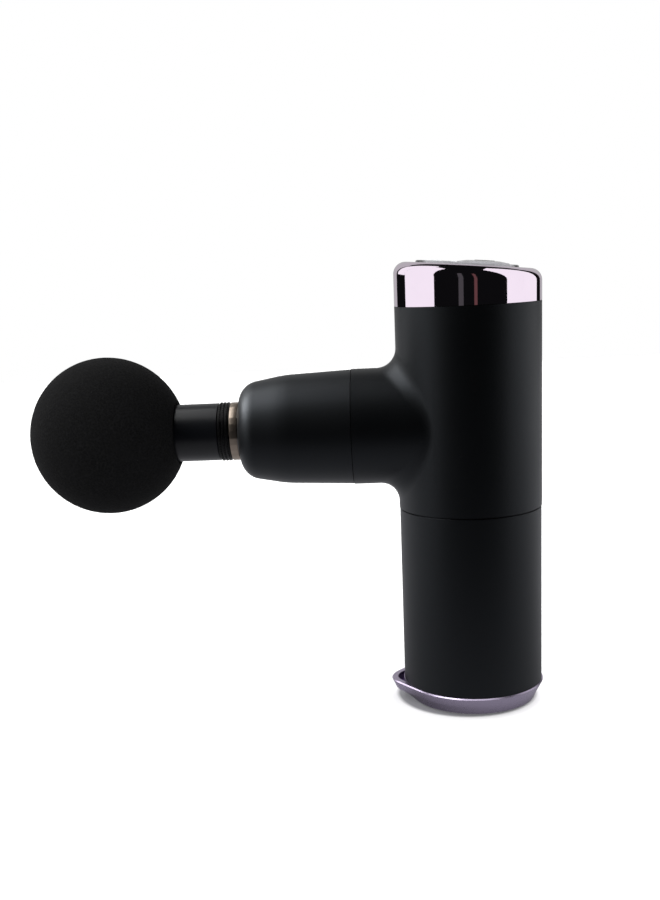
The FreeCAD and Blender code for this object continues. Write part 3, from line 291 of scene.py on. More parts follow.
def turned_ring(profile, steps, across=Matrix.Identity(4)):
    """A solid ring spun about the X axis from a closed profile of (place along X, radius)."""
    shape = bmesh.new()
    corners = [shape.verts.new((along, 0, radius)) for along, radius in profile]
    sides = [shape.edges.new((corners[i - 1], corners[i])) for i in range(len(corners))]
    bmesh.ops.spin(shape, geom=corners + sides, cent=(0, 0, 0), axis=(1, 0, 0), angle=FULL_TURN,
                   steps=steps, use_merge=True)
    bmesh.ops.remove_doubles(shape, verts=shape.verts, dist=0.001 * MM)
    bmesh.ops.recalc_face_normals(shape, faces=shape.faces)
    bmesh.ops.transform(shape, matrix=across, verts=shape.verts)
    return shape


def break_edges(shape, width, least_angle):
    """Bevel every edge whose two faces meet at more than an angle in degrees."""
    edges = [edge for edge in shape.edges
             if edge.is_manifold and edge.calc_face_angle(0.0) > math.radians(least_angle)]
    bmesh.ops.bevel(shape, geom=edges, offset=width, affect="EDGES", segments=2, profile=0.5,
                    material=-1)


def panel_place(x=0.0, y=0.0, rise=0.0):
    """The matrix that sets something on the slanting top, square to it."""
    tilt = Matrix.Rotation(PANEL_TILT, 4, "Y")
    return Matrix.Translation((0, 0, CAP_HEIGHT)) @ tilt @ Matrix.Translation((x, y, rise))


# ------------------------------------------------------------------ writing materials


class Wire:
    """An output of a node, so that sums of outputs are written as Python expressions."""

    def __init__(self, recipe, socket):
        self.recipe = recipe
        self.socket = socket

    def sum(self, operation, first, second):
        return self.recipe.node("ShaderNodeMath", {"operation": operation}, {0: first, 1: second})

    def __add__(self, other):
        return self.sum("ADD", self, other)

    def __sub__(self, other):
        return self.sum("SUBTRACT", self, other)

    def __rsub__(self, other):
        return self.sum("SUBTRACT", other, self)

    def __mul__(self, other):
        return self.sum("MULTIPLY", self, other)

    def __lt__(self, other):
        return self.sum("LESS_THAN", self, other)


class Recipe:
    """A material's nodes around one Principled shader."""

    def __init__(self, name, **uniform):
        self.material = bpy.data.materials.new(name)
        self.material.use_nodes = True
        self.tree = self.material.node_tree
        self.tree.nodes.clear()
        self.shader = self.tree.nodes.new("ShaderNodeBsdfPrincipled")
        output = self.tree.nodes.new("ShaderNodeOutputMaterial")
        self.tree.links.new(self.shader.outputs[0], output.inputs[0])
        for name, value in uniform.items():
            self.set(name.replace("_", " ").title().replace("Ior", "IOR"), value)
        self.place = self.node("ShaderNodeTexCoord", output="Object")

    def set(self, socket, value):
        """Give one of the shader's sockets a value or a wire."""
        self.feed(self.shader.inputs[socket], value)

    def feed(self, socket, value):
        if isinstance(value, Wire):
            self.tree.links.new(value.socket, socket)
        elif hasattr(value, "__len__") and socket.type == "RGBA" and len(value) == 3:
            socket.default_value = (*value, 1.0)
        else:
            socket.default_value = value

    def node(self, kind, settings=(), inputs=(), output=0):
        """Add a node: its settings first, then the values or wires of its sockets."""
        made = self.tree.nodes.new(kind)
        for name, value in dict(settings).items():
            if name == "stops":
                self.set_stops(made.color_ramp.elements, value)
            else:
                setattr(made, name, value)
        for name, value in dict(inputs).items():
            self.feed(made.inputs[name], value)
        return Wire(self, made.outputs[output])

    @staticmethod
    def set_stops(elements, stops):
        while len(elements) < len(stops):
            elements.new(0.5)
        for element, (position, level) in zip(elements, stops):
            element.position = position
            element.color = (level, level, level, 1.0)

    def noise(self, size, detail=2.0, roughness=0.5, place=None):
        """Cloudy noise whose spots are about one size across, in metres."""
        return self.node("ShaderNodeTexNoise", {}, {
            "Vector": place or self.place, "Scale": 1.0 / size,
            "Detail": detail, "Roughness": roughness,
        })

    def cells(self, size, settings=()):
        """The distance within cells about one size across, in metres."""
        return self.node("ShaderNodeTexVoronoi", settings, {
            "Vector": self.place, "Scale": 1.0 / size,
        }, "Distance")

    def spread(self, wire, low, high):
        """The part of a wire between two levels, spread from 0 to 1."""
        return self.node("ShaderNodeMapRange", {"clamp": True}, {
            "Value": wire, "From Min": low, "From Max": high, "To Min": 0.0, "To Max": 1.0,
        })

    def mix(self, factor, first, second):
        """A colour between two colours."""
        inputs = {0: factor, 6: first, 7: second}
        return self.node("ShaderNodeMix", {"data_type": "RGBA"}, inputs, 2)

    def stretch(self, x=1.0, y=1.0, z=1.0):
        """The place, stretched along each axis."""
        return self.node("ShaderNodeMapping", {}, {"Vector": self.place, "Scale": (x, y, z)})

    def axis(self, name):
        """One coordinate of the place."""
        return self.node("ShaderNodeSeparateXYZ", {}, {0: self.place}, name)

    def bump(self, height, distance, strength=1.0):
        """Raise the surface by a height from 0 to 1 times a distance."""
        self.set("Normal", self.node("ShaderNodeBump", {}, {
            "Height": height, "Distance": distance, "Strength": strength,
        }))


def tone(colour, factor):
    """A colour made darker or lighter."""
    return tuple(min(1.0, channel * factor) for channel in colour)


def soft_touch(name, colour, roughness):
    """Rubber-like paint over moulded plastic: fine grain, faint clouds and a few dust specks."""
    recipe = Recipe(name, specular_ior_level=0.5, specular_tint=(0.84, 0.91, 1.0))
    clouds = recipe.noise(14 * MM, 3)
    fine = recipe.noise(0.28 * MM, 2, 0.6)
    dust = recipe.cells(3.1 * MM) < 0.028
    body = recipe.mix(clouds, tone(colour, 0.85), tone(colour, 1.2))
    recipe.set("Base Color", recipe.mix(dust * 0.5, body, (0.10, 0.10, 0.105)))
    recipe.set("Roughness", clouds * 0.06 + fine * 0.05 + (roughness - 0.055))
    recipe.bump(fine, 0.012 * MM, 0.6)
    return recipe.material


def bright_plating(name, colour, roughness, satin=0.0):
    """Plated plastic: a clear reflection with faint waves and finger haze."""
    recipe = Recipe(name, metallic=1.0)
    haze = recipe.noise(9 * MM, 4, 0.6)
    fine = recipe.noise(0.35 * MM, 2)
    recipe.set("Base Color", recipe.mix(haze, tone(colour, 0.96), tone(colour, 1.03)))
    recipe.set("Roughness", recipe.spread(haze, 0.45, 0.8) * 0.05 + fine * satin + roughness)
    recipe.bump(recipe.noise(5 * MM, 2) + fine * satin, 0.02 * MM, 0.18)
    return recipe.material


def foam_skin(name, colour):
    """Closed-cell foam with an open, dusty skin; its sunken pores are darker, partly its own
    speckle and partly painted shade.
    """
    recipe = Recipe(name, roughness=1.0, specular_ior_level=0.1,
                    sheen_weight=0.015, sheen_roughness=0.5)
    pores = recipe.cells(0.62 * MM)
    fine = recipe.noise(0.34 * MM, 3, 0.7)
    clouds = recipe.noise(7 * MM, 3)
    # the grain is darkest in the sunken pores: partly the foam's own speckle, partly painted shade
    grain = recipe.spread(fine * 0.6 + pores * 0.5, 0.25, 0.85)
    body = recipe.mix(grain, tone(colour, 0.35), tone(colour, 1.9))
    body = recipe.mix(recipe.spread(clouds, 0.35, 0.75) * 0.5, body, tone(colour, 1.35))
    dust = recipe.cells(2.6 * MM) < 0.03
    recipe.set("Base Color", recipe.mix(dust * 0.45, body, (0.16, 0.16, 0.16)))
    recipe.bump(grain, 0.10 * MM, 0.9)
    return recipe.material


def satin_plastic(name, colour, roughness, grain=0.5 * MM):
    """Plain moulded plastic with a faint grain."""
    recipe = Recipe(name, specular_ior_level=0.5)
    fine = recipe.noise(grain, 3)
    clouds = recipe.noise(8 * MM, 2)
    recipe.set("Base Color", recipe.mix(clouds, tone(colour, 0.85), tone(colour, 1.15)))
    recipe.set("Roughness", fine * 0.08 + (roughness - 0.04))
    recipe.bump(fine, 0.01 * MM, 0.5)
    return recipe.material


def rubber(name, colour, roughness=0.7):
    """Matt rubber with bloom in its hollows."""
    recipe = Recipe(name, specular_ior_level=0.35)
    fine = recipe.noise(0.4 * MM, 3, 0.65)
    bloom = recipe.spread(recipe.noise(3 * MM, 3), 0.5, 0.8)
    recipe.set("Base Color", recipe.mix(bloom, colour, tone(colour, 1.7)))
    recipe.set("Roughness", bloom * 0.12 + (roughness - 0.05))
    recipe.bump(fine, 0.03 * MM, 0.6)
    return recipe.material


def metal(name, colour, roughness, lines=(1, 1, 1), line_size=0.4 * MM):
    """Worked metal with tool lines along one way and slight tarnish."""
    recipe = Recipe(name, metallic=1.0)
    tool = recipe.noise(line_size, 2, 0.5, recipe.stretch(*lines))
    stain = recipe.spread(recipe.noise(4 * MM, 3), 0.45, 0.8)
    recipe.set("Base Color", recipe.mix(stain, colour, tone(colour, 0.8)))
    recipe.set("Roughness", tool * 0.14 + stain * 0.06 + (roughness - 0.08))
    recipe.bump(tool, 0.012 * MM, 0.5)
    return recipe.material


def glossy_panel(name, colour, roughness):
    """Hard glossy plastic under a clear coat."""
    recipe = Recipe(name, specular_ior_level=0.6, coat_weight=0.6, coat_roughness=0.06)
    haze = recipe.noise(6 * MM, 3)
    recipe.set("Base Color", recipe.mix(haze, tone(colour, 0.92), tone(colour, 1.06)))
    recipe.set("Roughness", recipe.spread(haze, 0.4, 0.8) * 0.08 + roughness)
    recipe.bump(recipe.noise(4 * MM, 2), 0.02 * MM, 0.12)
    return recipe.material


def bezel_with_painted_reflection(name, colour, end_colour, reach):
    """Glossy plastic whose colour fades at both ends of its reach along X: the light colour is a
    painted reflection, the end colour the bezel's own dark plastic.
    """
    recipe = Recipe(name, specular_ior_level=0.6, coat_weight=0.5, coat_roughness=0.08)
    haze = recipe.noise(3 * MM, 3)
    along = recipe.axis("X")
    end = recipe.spread(along * along, (0.80 * reach) ** 2, (0.88 * reach) ** 2)
    # painted reflection: the bezel is light between its ends only through this colour
    middle = recipe.mix(haze, tone(colour, 0.9), colour)
    recipe.set("Base Color", recipe.mix(end, middle, end_colour))
    recipe.set("Roughness", haze * 0.1 + 0.18)
    recipe.bump(recipe.noise(0.4 * MM, 2), 0.01 * MM, 0.3)
    return recipe.material


def painted_glow_light(name, colour):
    """Milky plastic of a level light with faint swirls and a painted glow: it gives out light so
    that it reads white.
    """
    recipe = Recipe(name, roughness=0.18, specular_ior_level=0.7, coat_weight=0.7,
                    emission_strength=0.85)
    swirled = recipe.mix(recipe.noise(0.8 * MM, 2), tone(colour, 0.9), colour)
    recipe.set("Base Color", swirled)
    # painted glow: the swirled colour is also given out as light
    recipe.set("Emission Color", swirled)
    return recipe.material


def circuit_board(name, colour):
    """Solder mask over copper tracks that run both ways."""
    recipe = Recipe(name, specular_ior_level=0.5, coat_weight=0.3, coat_roughness=0.2)
    tracks = recipe.cells(2.4 * MM, {"distance": "MANHATTAN", "feature": "DISTANCE_TO_EDGE"})
    line = recipe.spread(tracks, 0.02, 0.05)
    pads = recipe.cells(1.7 * MM, {"distance": "CHEBYCHEV"}) < 0.16
    body = recipe.mix(line, tone(colour, 1.9), colour)
    recipe.set("Base Color", recipe.mix(pads, body, (0.62, 0.60, 0.55)))
    recipe.set("Roughness", 0.45 - pads * 0.2)
    recipe.bump(1.0 - line, 0.02 * MM, 0.5)
    return recipe.material


def wound_copper(name, colour):
    """Enamelled wire laid in even turns, darkened with painted shade in the grooves between them.
    """
    recipe = Recipe(name, metallic=1.0)
    turns = recipe.node("ShaderNodeTexWave", {"wave_type": "BANDS", "bands_direction": "Z"}, {
        "Vector": recipe.place, "Scale": 0.16 / MM, "Distortion": 0.6, "Detail": 1.0,
    }, "Fac")
    # painted shade: the grooves between turns are darker
    recipe.set("Base Color", recipe.mix(turns, tone(colour, 0.35), colour))
    recipe.set("Roughness", 0.42 - turns * 0.12)
    recipe.bump(turns, 0.12 * MM, 0.8)
    return recipe.material


def laminated_steel(name, colour):
    """A stack of thin punched sheets."""
    recipe = Recipe(name, metallic=1.0)
    sheets = recipe.node("ShaderNodeTexWave", {"wave_type": "BANDS", "bands_direction": "Z"}, {
        "Vector": recipe.place, "Scale": 0.3 / MM,
    }, "Fac")
    stain = recipe.noise(2 * MM, 3)
    recipe.set("Base Color", recipe.mix(stain, tone(colour, 0.7), colour))
    recipe.set("Roughness", stain * 0.15 + 0.35)
    recipe.bump(sheets, 0.05 * MM, 0.7)
    return recipe.material


def shrink_wrap(name, colour):
    """Printed shrink film over a cell, drawn tight, with fine wrinkles near its ends, painted
    darker in their folds and lighter on their crests.
    """
    recipe = Recipe(name, specular_ior_level=0.5, coat_weight=0.5, coat_roughness=0.15)
    wrinkles = recipe.noise(2.2 * MM, 3, 0.6, recipe.stretch(1, 1, 0.25))
    # painted shade in the wrinkles' folds and painted highlight on their crests
    recipe.set("Base Color", recipe.mix(wrinkles, tone(colour, 0.8), tone(colour, 1.15)))
    recipe.set("Roughness", wrinkles * 0.15 + 0.22)
    recipe.bump(wrinkles, 0.08 * MM, 0.5)
    return recipe.material


def paint(material, *nodes):
    """Give CAD nodes a material."""
    for name in nodes:
        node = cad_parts[name]
        node.data.materials.clear()
        node.data.materials.append(material)


# ------------------------------------------------------------------ operators


class GUN_OT_foam_ball(Operator):
    """Make the soft ball, with a rolled mouth around the neck and a pebbled skin"""

    bl_idname = "massage_gun.foam_ball"
    bl_label = "Foam Ball"

    def execute(self, context):
        settings = context.scene.gun_ball
        mouth = NECK_RADIUS + settings.mouth_gap
        opening = mouth + settings.lip
        shape = bmesh.new()
        bmesh.ops.create_icosphere(shape, subdivisions=6, radius=BALL_RADIUS,
                                   matrix=Matrix.Translation(BALL_CENTRE))
        face_place = BALL_CENTRE + Vector((math.sqrt(BALL_RADIUS ** 2 - opening ** 2), 0, 0))
        for vert in shape.verts:
            bumpiness = noise.noise(vert.co / settings.pebble_size)
            away = (vert.co - BALL_CENTRE).normalized()
            vert.co -= away * settings.pebble_depth * (0.5 + 0.5 * bumpiness)
        bmesh.ops.bisect_plane(shape, geom=shape.verts[:] + shape.edges[:] + shape.faces[:],
                               plane_co=face_place, plane_no=(1, 0, 0), clear_outer=True)
        rim = [edge for edge in shape.edges if edge.is_boundary]
        radius = opening
        reached = 0.0
        for depth, width in MOUTH_ROLL + ((settings.mouth_depth, 0.0),):
            grown = bmesh.ops.extrude_edge_only(shape, edges=rim)["geom"]
            verts = [item for item in grown if isinstance(item, bmesh.types.BMVert)]
            rim = [item for item in grown if isinstance(item, bmesh.types.BMEdge)]
            target = mouth + width * settings.lip
            share = target / radius
            bmesh.ops.scale(shape, vec=(1, share, share), verts=verts,
                            space=Matrix.Translation((0, 0, -BARREL_HEIGHT)))
            bmesh.ops.translate(shape, vec=(reached - depth, 0, 0), verts=verts)
            radius = target
            reached = depth
        bmesh.ops.holes_fill(shape, edges=rim, sides=0)
        ball = finish_piece(shape, "foam_ball_skin", "head",
                            foam_skin("open foam", settings.colour), ["foam_ball"], sharp=50.0)
        return {"FINISHED"}


class GUN_OT_trim(Operator):
    """Make the ground collar on the piston and the notched rubber band beside it"""

    bl_idname = "massage_gun.trim"
    bl_label = "Collar and Band"

    def execute(self, context):
        settings = context.scene.gun_trim
        on_barrel = Matrix.Translation((0, 0, BARREL_HEIGHT))
        outer = (COLLAR_HIGH.z - COLLAR_LOW.z) / 2
        back, front = COLLAR_HIGH.x, COLLAR_LOW.x
        collar = turned_ring([
            (back, COLLAR_STEP), (back, outer), (front, outer), (front, COLLAR_BORE),
            (front + COLLAR_LIP, COLLAR_BORE), (front + COLLAR_LIP, COLLAR_STEP),
        ], settings.flats, on_barrel)
        break_edges(collar, settings.flat_edge, least_angle=10)
        plating = metal("bronze plating", settings.collar_colour, 0.38, (6, 1, 1), 0.5 * MM)
        finish_piece(collar, "ground_collar", "piston", plating,
                     ["piston_collar"], 20)

        crown = (BAND_HIGH.z - BAND_LOW.z) / 2
        back, front = BAND_HIGH.x, BAND_LOW.x
        pitch = (back - front) / settings.ridges
        root = crown - settings.ridge_depth
        profile = [(back, BAND_BORE)]
        for ridge in range(settings.ridges):
            start = back - ridge * pitch
            profile.append((start, root))
            profile += [(start - along * pitch, root + share * settings.ridge_depth)
                        for along, share in RIDGE_PROFILE]
        profile += [(front, root), (front, BAND_BORE)]
        band = turned_ring(profile, settings.notches * 2)
        crowns = [face for face in band.faces
                  if math.hypot(*face.calc_center_median()[1:]) > crown - 0.1 * MM]
        lowered = []
        for face in crowns:
            centre = face.calc_center_median()
            turn = math.atan2(centre.z, centre.y) / FULL_TURN * settings.notches * 2
            ridge = int((back - centre.x) / pitch)
            if (math.floor(turn) + ridge) % 2:
                lowered.append(face)
        bmesh.ops.inset_individual(band, faces=lowered, thickness=NOTCH_BORDER,
                                   depth=-settings.notch_depth)
        bmesh.ops.transform(band, matrix=on_barrel, verts=band.verts)
        finish_piece(band, "notched_band", "head",
                     rubber("band rubber", (0.019, 0.019, 0.020), 0.45), ["neck_band"], 25)
        return {"FINISHED"}


class GUN_OT_panel(Operator):
    """Make the domed level lights and the power mark, and finish the control panel"""

    bl_idname = "massage_gun.panel"
    bl_label = "Control Panel"

    def execute(self, context):
        settings = context.scene.gun_panel
        lights = bmesh.new()
        radius = settings.light_radius
        for degrees in LIGHT_ANGLES:
            angle = math.radians(degrees)
            place = panel_place(settings.light_circle * math.cos(angle),
                                settings.light_circle * math.sin(angle),
                                settings.light_rise - LIGHT_FLATNESS * radius)
            dome = bmesh.ops.create_uvsphere(lights, u_segments=24, v_segments=14,
                                             radius=radius)["verts"]
            bmesh.ops.scale(lights, vec=(1, 1, LIGHT_FLATNESS), verts=dome)
            for vert in dome:
                if vert.co.z < 0:
                    vert.co.z *= LIGHT_ROOT
            bmesh.ops.transform(lights, matrix=place, verts=dome)
        # the level lights glow with painted light so that they read white
        finish_piece(lights, "level_lights", "housing",
                     painted_glow_light("milky light", (0.93, 0.94, 0.96)), ["light_pipes"])

        mark = bmesh.new()
        half = settings.mark_width / 2
        start = settings.mark_gap / 2
        corners = [mark.verts.new((settings.mark_radius + across, 0, up))
                   for across, up in ((-half, -half), (half, -half), (half, 0), (-half, 0))]
        face = mark.faces.new(corners)
        bmesh.ops.rotate(mark, verts=mark.verts, cent=(0, 0, 0),
                         matrix=Matrix.Rotation(start, 3, "Z"))
        bmesh.ops.spin(mark, geom=[face], cent=(0, 0, 0), axis=(0, 0, 1),
                       angle=FULL_TURN - settings.mark_gap, steps=44)
        bar = bmesh.ops.create_cube(mark, size=1.0)["verts"]
        bmesh.ops.scale(mark, vec=(settings.mark_radius, settings.mark_width, half), verts=bar)
        bmesh.ops.translate(mark, vec=(settings.mark_radius * 0.95, 0, -half / 2), verts=bar)
        button_centre = (BUTTON_LOW + BUTTON_HIGH) / 2
        place = panel_place(button_centre.x / math.cos(PANEL_TILT), 0, BUTTON_CROWN)
        bmesh.ops.transform(mark, matrix=place, verts=mark.verts)
        finish_piece(mark, "power_mark", "button",
                     glossy_panel("mark ink", (0.02, 0.02, 0.022), 0.3))

        # the lens and button colours are partly their own light grey and partly a painted
        # reflection
        paint(glossy_panel("panel front", settings.colour, 0.1), "panel_lens")
        paint(glossy_panel("button front", tone(settings.colour, 1.25), 0.12), "power_button")
        # the light grey is a painted reflection on the bezel's dark plastic
        paint(bezel_with_painted_reflection("bezel plastic", (0.60, 0.60, 0.63), (0.012, 0.012, 0.013), PANEL_REACH),
              "panel_bezel")
        return {"FINISHED"}


class GUN_OT_shells(Operator):
    """Finish the soft-touch shells, the bright cap and the base ring"""

    bl_idname = "massage_gun.shells"
    bl_label = "Shells and Plating"

    def execute(self, context):
        settings = context.scene.gun_shells
        coating = soft_touch("soft-touch coating", settings.shell_colour, settings.shell_roughness)
        paint(coating, "upper_housing", "grip_sleeve", "nose_cover")
        paint(satin_plastic("foot plastic", tone(settings.shell_colour, 1.3), 0.5), "base_cover")
        paint(rubber("gasket rubber", (0.004, 0.004, 0.004)),
              "seam_gasket", "nose_seal", "stem_rings")
        paint(rubber("pad rubber", (0.010, 0.010, 0.011), 0.8), "foot_pad")
        paint(bright_plating("bright cap plating", settings.chrome_colour, 0.025), "top_cap")
        paint(bright_plating("satin ring plating", settings.ring_colour, 0.22, satin=0.12),
              "base_ring")
        neck = satin_plastic("neck plastic", context.scene.gun_trim.neck_colour, 0.34)
        paint(neck, "head_stem", "head_core")
        return {"FINISHED"}


class GUN_OT_works(Operator):
    """Finish the motor, the crank, the piston, the battery pack and the boards"""

    bl_idname = "massage_gun.works"
    bl_label = "Inner Works"

    def execute(self, context):
        paint(metal("turned steel", (0.56, 0.56, 0.57), 0.25, (1, 1, 8)),
              "drive_shaft", "wrist_pin", "pin_clip")
        paint(metal("ground piston steel", (0.52, 0.52, 0.53), 0.22, (8, 1, 1)), "piston")
        paint(metal("screw steel", (0.42, 0.42, 0.43), 0.3),
              "board_screws", "bracket_screws", "motor_screws", "flange_screws", "base_screws")
        paint(metal("bearing steel", (0.62, 0.62, 0.63), 0.18),
              "front_bearing", "rear_bearing", "rod_bearing")
        paint(metal("drawn motor steel", (0.36, 0.36, 0.38), 0.32, (1, 1, 0.1)),
              "motor_can", "motor_end_cap")
        paint(metal("dark magnet", (0.10, 0.10, 0.11), 0.4), "motor_rotor")
        paint(metal("cast aluminium", (0.62, 0.62, 0.63), 0.42, line_size=0.3 * MM),
              "motor_bracket", "connecting_rod", "eccentric_wheel")
        paint(metal("turned aluminium", (0.66, 0.66, 0.67), 0.3, (8, 1, 1)), "barrel_carrier")
        paint(metal("brass", (0.60, 0.42, 0.16), 0.3), "counterweight")
        paint(metal("sintered bronze", (0.40, 0.27, 0.14), 0.5, line_size=0.2 * MM),
              "slide_bushing")
        paint(metal("nickel strip", (0.60, 0.58, 0.54), 0.35), "battery_strips", "charge_socket")
        paint(laminated_steel("stator sheets", (0.34, 0.34, 0.36)), "stator_core")
        paint(wound_copper("copper wire", (0.80, 0.38, 0.18)), "stator_windings")
        paint(circuit_board("green board", (0.010, 0.085, 0.030)),
              "control_board", "battery_board", "charge_board")
        paint(satin_plastic("switch plastic", (0.02, 0.02, 0.02), 0.4), "tact_switch")
        paint(satin_plastic("natural nylon", (0.62, 0.60, 0.54), 0.5),
              "battery_clamp", "battery_tray")
        paint(shrink_wrap("cell film", (0.03, 0.22, 0.30)), "battery_cells")
        paint(satin_plastic("wire skin", (0.42, 0.012, 0.010), 0.38, 0.3 * MM), "wire_loom")
        return {"FINISHED"}


def add_panel_light(name, place, aim, width, height, glow, colour=(1.0, 1.0, 1.0)):
    """A rectangular light of a given brightness that the camera doesn't see."""
    light = bpy.data.lights.new(name, "AREA")
    light.shape = "RECTANGLE"
    light.size = width
    light.size_y = height
    light.energy = glow * width * height * math.pi
    light.color = colour
    lamp = bpy.data.objects.new(name, light)
    bpy.context.scene.collection.objects.link(lamp)
    lamp.location = place
    lamp.rotation_euler = (Vector(aim) - Vector(place)).to_track_quat("-Z", "Y").to_euler()
    lamp.visible_camera = False
    return lamp


def light_only(name, things, lamps):
    """Let some lights reach only some objects."""
    lit = bpy.data.collections.new("lit " + name)
    for thing in things:
        lit.objects.link(thing)
    for lamp in lamps:
        lamp.light_linking.receiver_collection = lit
    return lit


class GUN_OT_studio(Operator):
    """Make the floor, the lights, the surroundings and the camera"""

    bl_idname = "massage_gun.studio"
    bl_label = "Studio"

    def execute(self, context):
        settings = context.scene.gun_studio
        floor = self.add_floor(settings)
        self.add_world(context.scene)
        bright = [context.scene.objects[name] for name in BRIGHT_TOP]
        others = [thing for thing in context.scene.objects
                  if thing.type == "MESH" and thing not in bright and thing is not floor]
        nose = [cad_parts["nose_cover"]]
        ring = [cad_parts["base_ring"]]
        panel = [thing for thing in bright if thing.name not in ("top_cap", "level_lights")]
        cap_glow, side_glow = settings.cap_glow, settings.softbox_glow
        light_only("bright top", bright, [
            self.add_softbox("left cap softbox", settings, -1, (51, 110), (-0.3, 1.9), cap_glow),
            self.add_softbox("left cap strip", settings, -1, (110, 133), (0.165, 1.9), cap_glow),
            self.add_softbox("right cap softbox", settings, 1, (62, 131), (-0.3, 1.9), cap_glow),
            add_panel_light("grey card", (-0.14, -0.62, 0.1), (0, 0, 0.1), 0.08, 0.9, 0.055),
            add_panel_light("warm card", (0.10, -0.62, 0.1), (0, 0, 0.1), 0.05, 0.9, 0.11,
                            (1.0, 0.42, 0.40)),
        ])
        light_only("shells", others, [
            self.add_softbox("left softbox", settings, -1, (51, 121), (-0.3, 0.62), side_glow),
            self.add_softbox("left strip", settings, -1, (121, 133), (0.165, 0.62), side_glow),
            self.add_softbox("right softbox", settings, 1, (62, 131), (-0.3, 0.62), side_glow),
            add_panel_light("upper left panel", (-0.60, 0.03, 0.80), (-0.05, 0, 0.1), 0.9, 0.85,
                            settings.top_glow),
        ])
        light_only("control panel", panel, [
            add_panel_light("panel fill", (-0.1, -0.55, 0.62), (0, 0, 0.14), 0.7, 0.7,
                            settings.panel_glow),
        ])
        light_only("base ring", ring, [
            add_panel_light("ring line light", (0, -0.28, 0.85), (0, 0, 0.02), 0.9, 0.35,
                            settings.line_glow),
        ])
        nose_panel = add_panel_light("nose panel", (-0.70, 0.06, 0.52), (-0.07, 0, 0.1), 0.45, 0.42,
                                     settings.nose_glow)
        nose_panel.light_linking.blocker_collection = light_only("nose", nose, [nose_panel])
        even_wash = add_panel_light("even floor wash", (0, 0.5, 2.5), (0, 0.5, 0), 6.0, 6.0,
                                    settings.floor_glow * (1 - SHADOWED_WASH))
        even_wash.data.use_shadow = False
        light_only("floor", [floor], [
            add_panel_light("floor wash", (0, 0.5, 2.5), (0, 0.5, 0), 6.0, 6.0,
                            settings.floor_glow * SHADOWED_WASH),
            even_wash,
        ])
        light_only("ball", [context.scene.objects["foam_ball_skin"]], [
            add_panel_light("ball fill", (-0.12, -0.70, 0.25), (-0.1, 0, 0.09), 0.9, 0.9,
                            settings.ball_glow),
        ])
        add_panel_light("back panel", (0, 0.9, 0.35), (0, 0, 0.2), 1.35, 1.2, settings.back_glow)
        self.add_camera(context.scene, settings)
        return {"FINISHED"}

    @staticmethod
    def add_floor(settings):
        shape = bmesh.new()
        bmesh.ops.create_grid(shape, x_segments=2, y_segments=2, size=1.0)
        bmesh.ops.scale(shape, vec=(*FLOOR_HALF, 1), verts=shape.verts)
        bmesh.ops.translate(shape, vec=FLOOR_MIDDLE, verts=shape.verts)
        mesh = bpy.data.meshes.new("floor")
        shape.to_mesh(mesh)
        shape.free()
        floor = bpy.data.objects.new("floor", mesh)
        bpy.context.scene.collection.objects.link(floor)
        paper = Recipe("pale paper", roughness=0.9, specular_ior_level=0.1, emission_strength=1.0)
        fibres = paper.noise(2 * MM, 3)
        seen = paper.node("ShaderNodeLightPath", output="Is Camera Ray")
        white = paper.mix(fibres, (0.93, 0.93, 0.93), (0.96, 0.96, 0.96))
        away = paper.node("ShaderNodeVectorMath", {"operation": "DISTANCE"}, {
            0: paper.place, 1: settings.painted_shade_place,
        }, "Value")
        outside_painted_shadow = paper.spread(away, *(settings.painted_shade_radius + edge for edge in PAINTED_SHADE_EDGE))
        # painted shadow: the camera sees darker paper round the foot
        white = paper.mix(outside_painted_shadow, (0.29, 0.29, 0.305), white)
        behind = paper.spread(paper.axis("Y"), -0.12, 0.12)
        bounce = paper.mix(behind, (0.02, 0.02, 0.021), (0.26, 0.26, 0.27))
        paper.set("Base Color", paper.mix(seen, bounce, white))
        # reflections see the floor glow, with a painted shade that darkens it near the foot
        outside_painted_foot_shade = paper.spread(away, *PAINTED_FOOT_SHADE)
        glow = paper.mix(outside_painted_foot_shade, (0.0, 0.0, 0.0), (0.18, 0.18, 0.19))
        paper.set("Emission Color", paper.mix(seen, glow, (0.0, 0.0, 0.0)))
        mesh.materials.append(paper.material)
        return floor

    @staticmethod
    def add_softbox(name, settings, side, angles, heights, glow):
        """An upright panel beside the object, between two angles and between two heights."""
        first, last = angles
        low, high = heights
        width = 2 * SOFTBOX_REACH * math.tan(math.radians(last - first) / 2)
        angle = settings.heading + math.radians(-90 + side * (first + last) / 2)
        place = Vector((math.cos(angle) * SOFTBOX_REACH, math.sin(angle) * SOFTBOX_REACH,
                        (low + high) / 2))
        return add_panel_light(name, place, (0, 0, place.z), width, high - low, glow)

    @staticmethod
    def add_world(scene):
        world = bpy.data.worlds.new("surroundings")
        scene.world = world
        world.use_nodes = True
        tree = world.node_tree
        tree.nodes.clear()
        seen = tree.nodes.new("ShaderNodeBackground")
        seen.inputs["Color"].default_value = (1.0, 1.0, 1.0, 1.0)
        seen.inputs["Strength"].default_value = 1.0
        dim = tree.nodes.new("ShaderNodeBackground")
        dim.inputs["Color"].default_value = (0.9, 0.95, 1.0, 1.0)
        dim.inputs["Strength"].default_value = 0.004
        path = tree.nodes.new("ShaderNodeLightPath")
        choose = tree.nodes.new("ShaderNodeMixShader")
        output = tree.nodes.new("ShaderNodeOutputWorld")
        tree.links.new(path.outputs["Is Camera Ray"], choose.inputs[0])
        tree.links.new(dim.outputs[0], choose.inputs[1])
        tree.links.new(seen.outputs[0], choose.inputs[2])
        tree.links.new(choose.outputs[0], output.inputs[0])

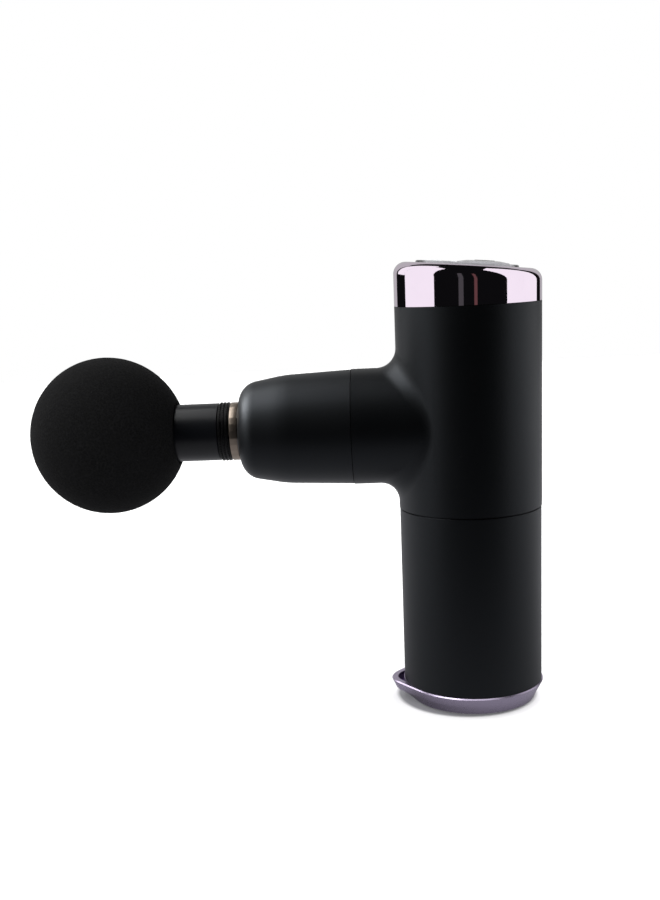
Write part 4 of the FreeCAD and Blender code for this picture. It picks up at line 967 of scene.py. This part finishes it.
    @staticmethod
    def add_camera(scene, settings):
        place = Vector((settings.distance * math.sin(settings.heading),
                        -settings.distance * math.cos(settings.heading), settings.height))
        heading = math.atan2(-place.y, -place.x) + settings.yaw
        ahead = Vector((math.cos(heading) * math.cos(settings.pitch),
                        math.sin(heading) * math.cos(settings.pitch), -math.sin(settings.pitch)))
        right = ahead.cross(Vector((0, 0, 1))).normalized()
        up = right.cross(ahead)
        lean, level = math.sin(settings.roll), math.cos(settings.roll)
        across = level * right + lean * up
        over = level * up - lean * right
        camera = bpy.data.objects.new("camera", bpy.data.cameras.new("camera"))
        scene.collection.objects.link(camera)
        camera.matrix_world = Matrix((
            (across.x, over.x, -ahead.x, place.x),
            (across.y, over.y, -ahead.y, place.y),
            (across.z, over.z, -ahead.z, place.z),
            (0, 0, 0, 1),
        ))
        camera.data.sensor_fit = "VERTICAL"
        camera.data.sensor_height = 36.0
        camera.data.lens = settings.lens
        camera.data.shift_x = settings.shift_across
        camera.data.shift_y = settings.shift_up
        camera.data.clip_start = 0.005
        scene.camera = camera
        scene.view_settings.view_transform = "Standard"


class GUN_PT_sidebar(Panel):
    """The gun's settings and the steps that make it"""

    bl_idname = "GUN_PT_sidebar"
    bl_label = "Massage Gun"
    bl_space_type = "VIEW_3D"
    bl_region_type = "UI"
    bl_category = "Massage Gun"

    def draw(self, context):
        for operator, group in STEPS:
            box = self.layout.box()
            box.operator(operator.bl_idname)
            if group:
                settings = getattr(context.scene, group)
                for name in settings.__annotations__:
                    box.prop(settings, name)


GROUPS = {
    "gun_ball": FoamBallSettings,
    "gun_trim": TrimSettings,
    "gun_panel": PanelSettings,
    "gun_shells": ShellSettings,
    "gun_studio": StudioSettings,
}
STEPS = (
    (GUN_OT_foam_ball, "gun_ball"),
    (GUN_OT_trim, "gun_trim"),
    (GUN_OT_panel, "gun_panel"),
    (GUN_OT_shells, "gun_shells"),
    (GUN_OT_works, None),
    (GUN_OT_studio, "gun_studio"),
)
CLASSES = tuple(GROUPS.values()) + tuple(operator for operator, _ in STEPS) + (GUN_PT_sidebar,)


def register():
    for item in CLASSES:
        bpy.utils.register_class(item)
    for name, group in GROUPS.items():
        setattr(bpy.types.Scene, name, PointerProperty(type=group))


def unregister():
    for name in GROUPS:
        delattr(bpy.types.Scene, name)
    for item in reversed(CLASSES):
        bpy.utils.unregister_class(item)


def main():
    register()
    bpy.ops.massage_gun.foam_ball()
    bpy.ops.massage_gun.trim()
    bpy.ops.massage_gun.panel()
    bpy.ops.massage_gun.shells()
    bpy.ops.massage_gun.works()
    bpy.ops.massage_gun.studio()


if __name__ == "__main__":
    main()
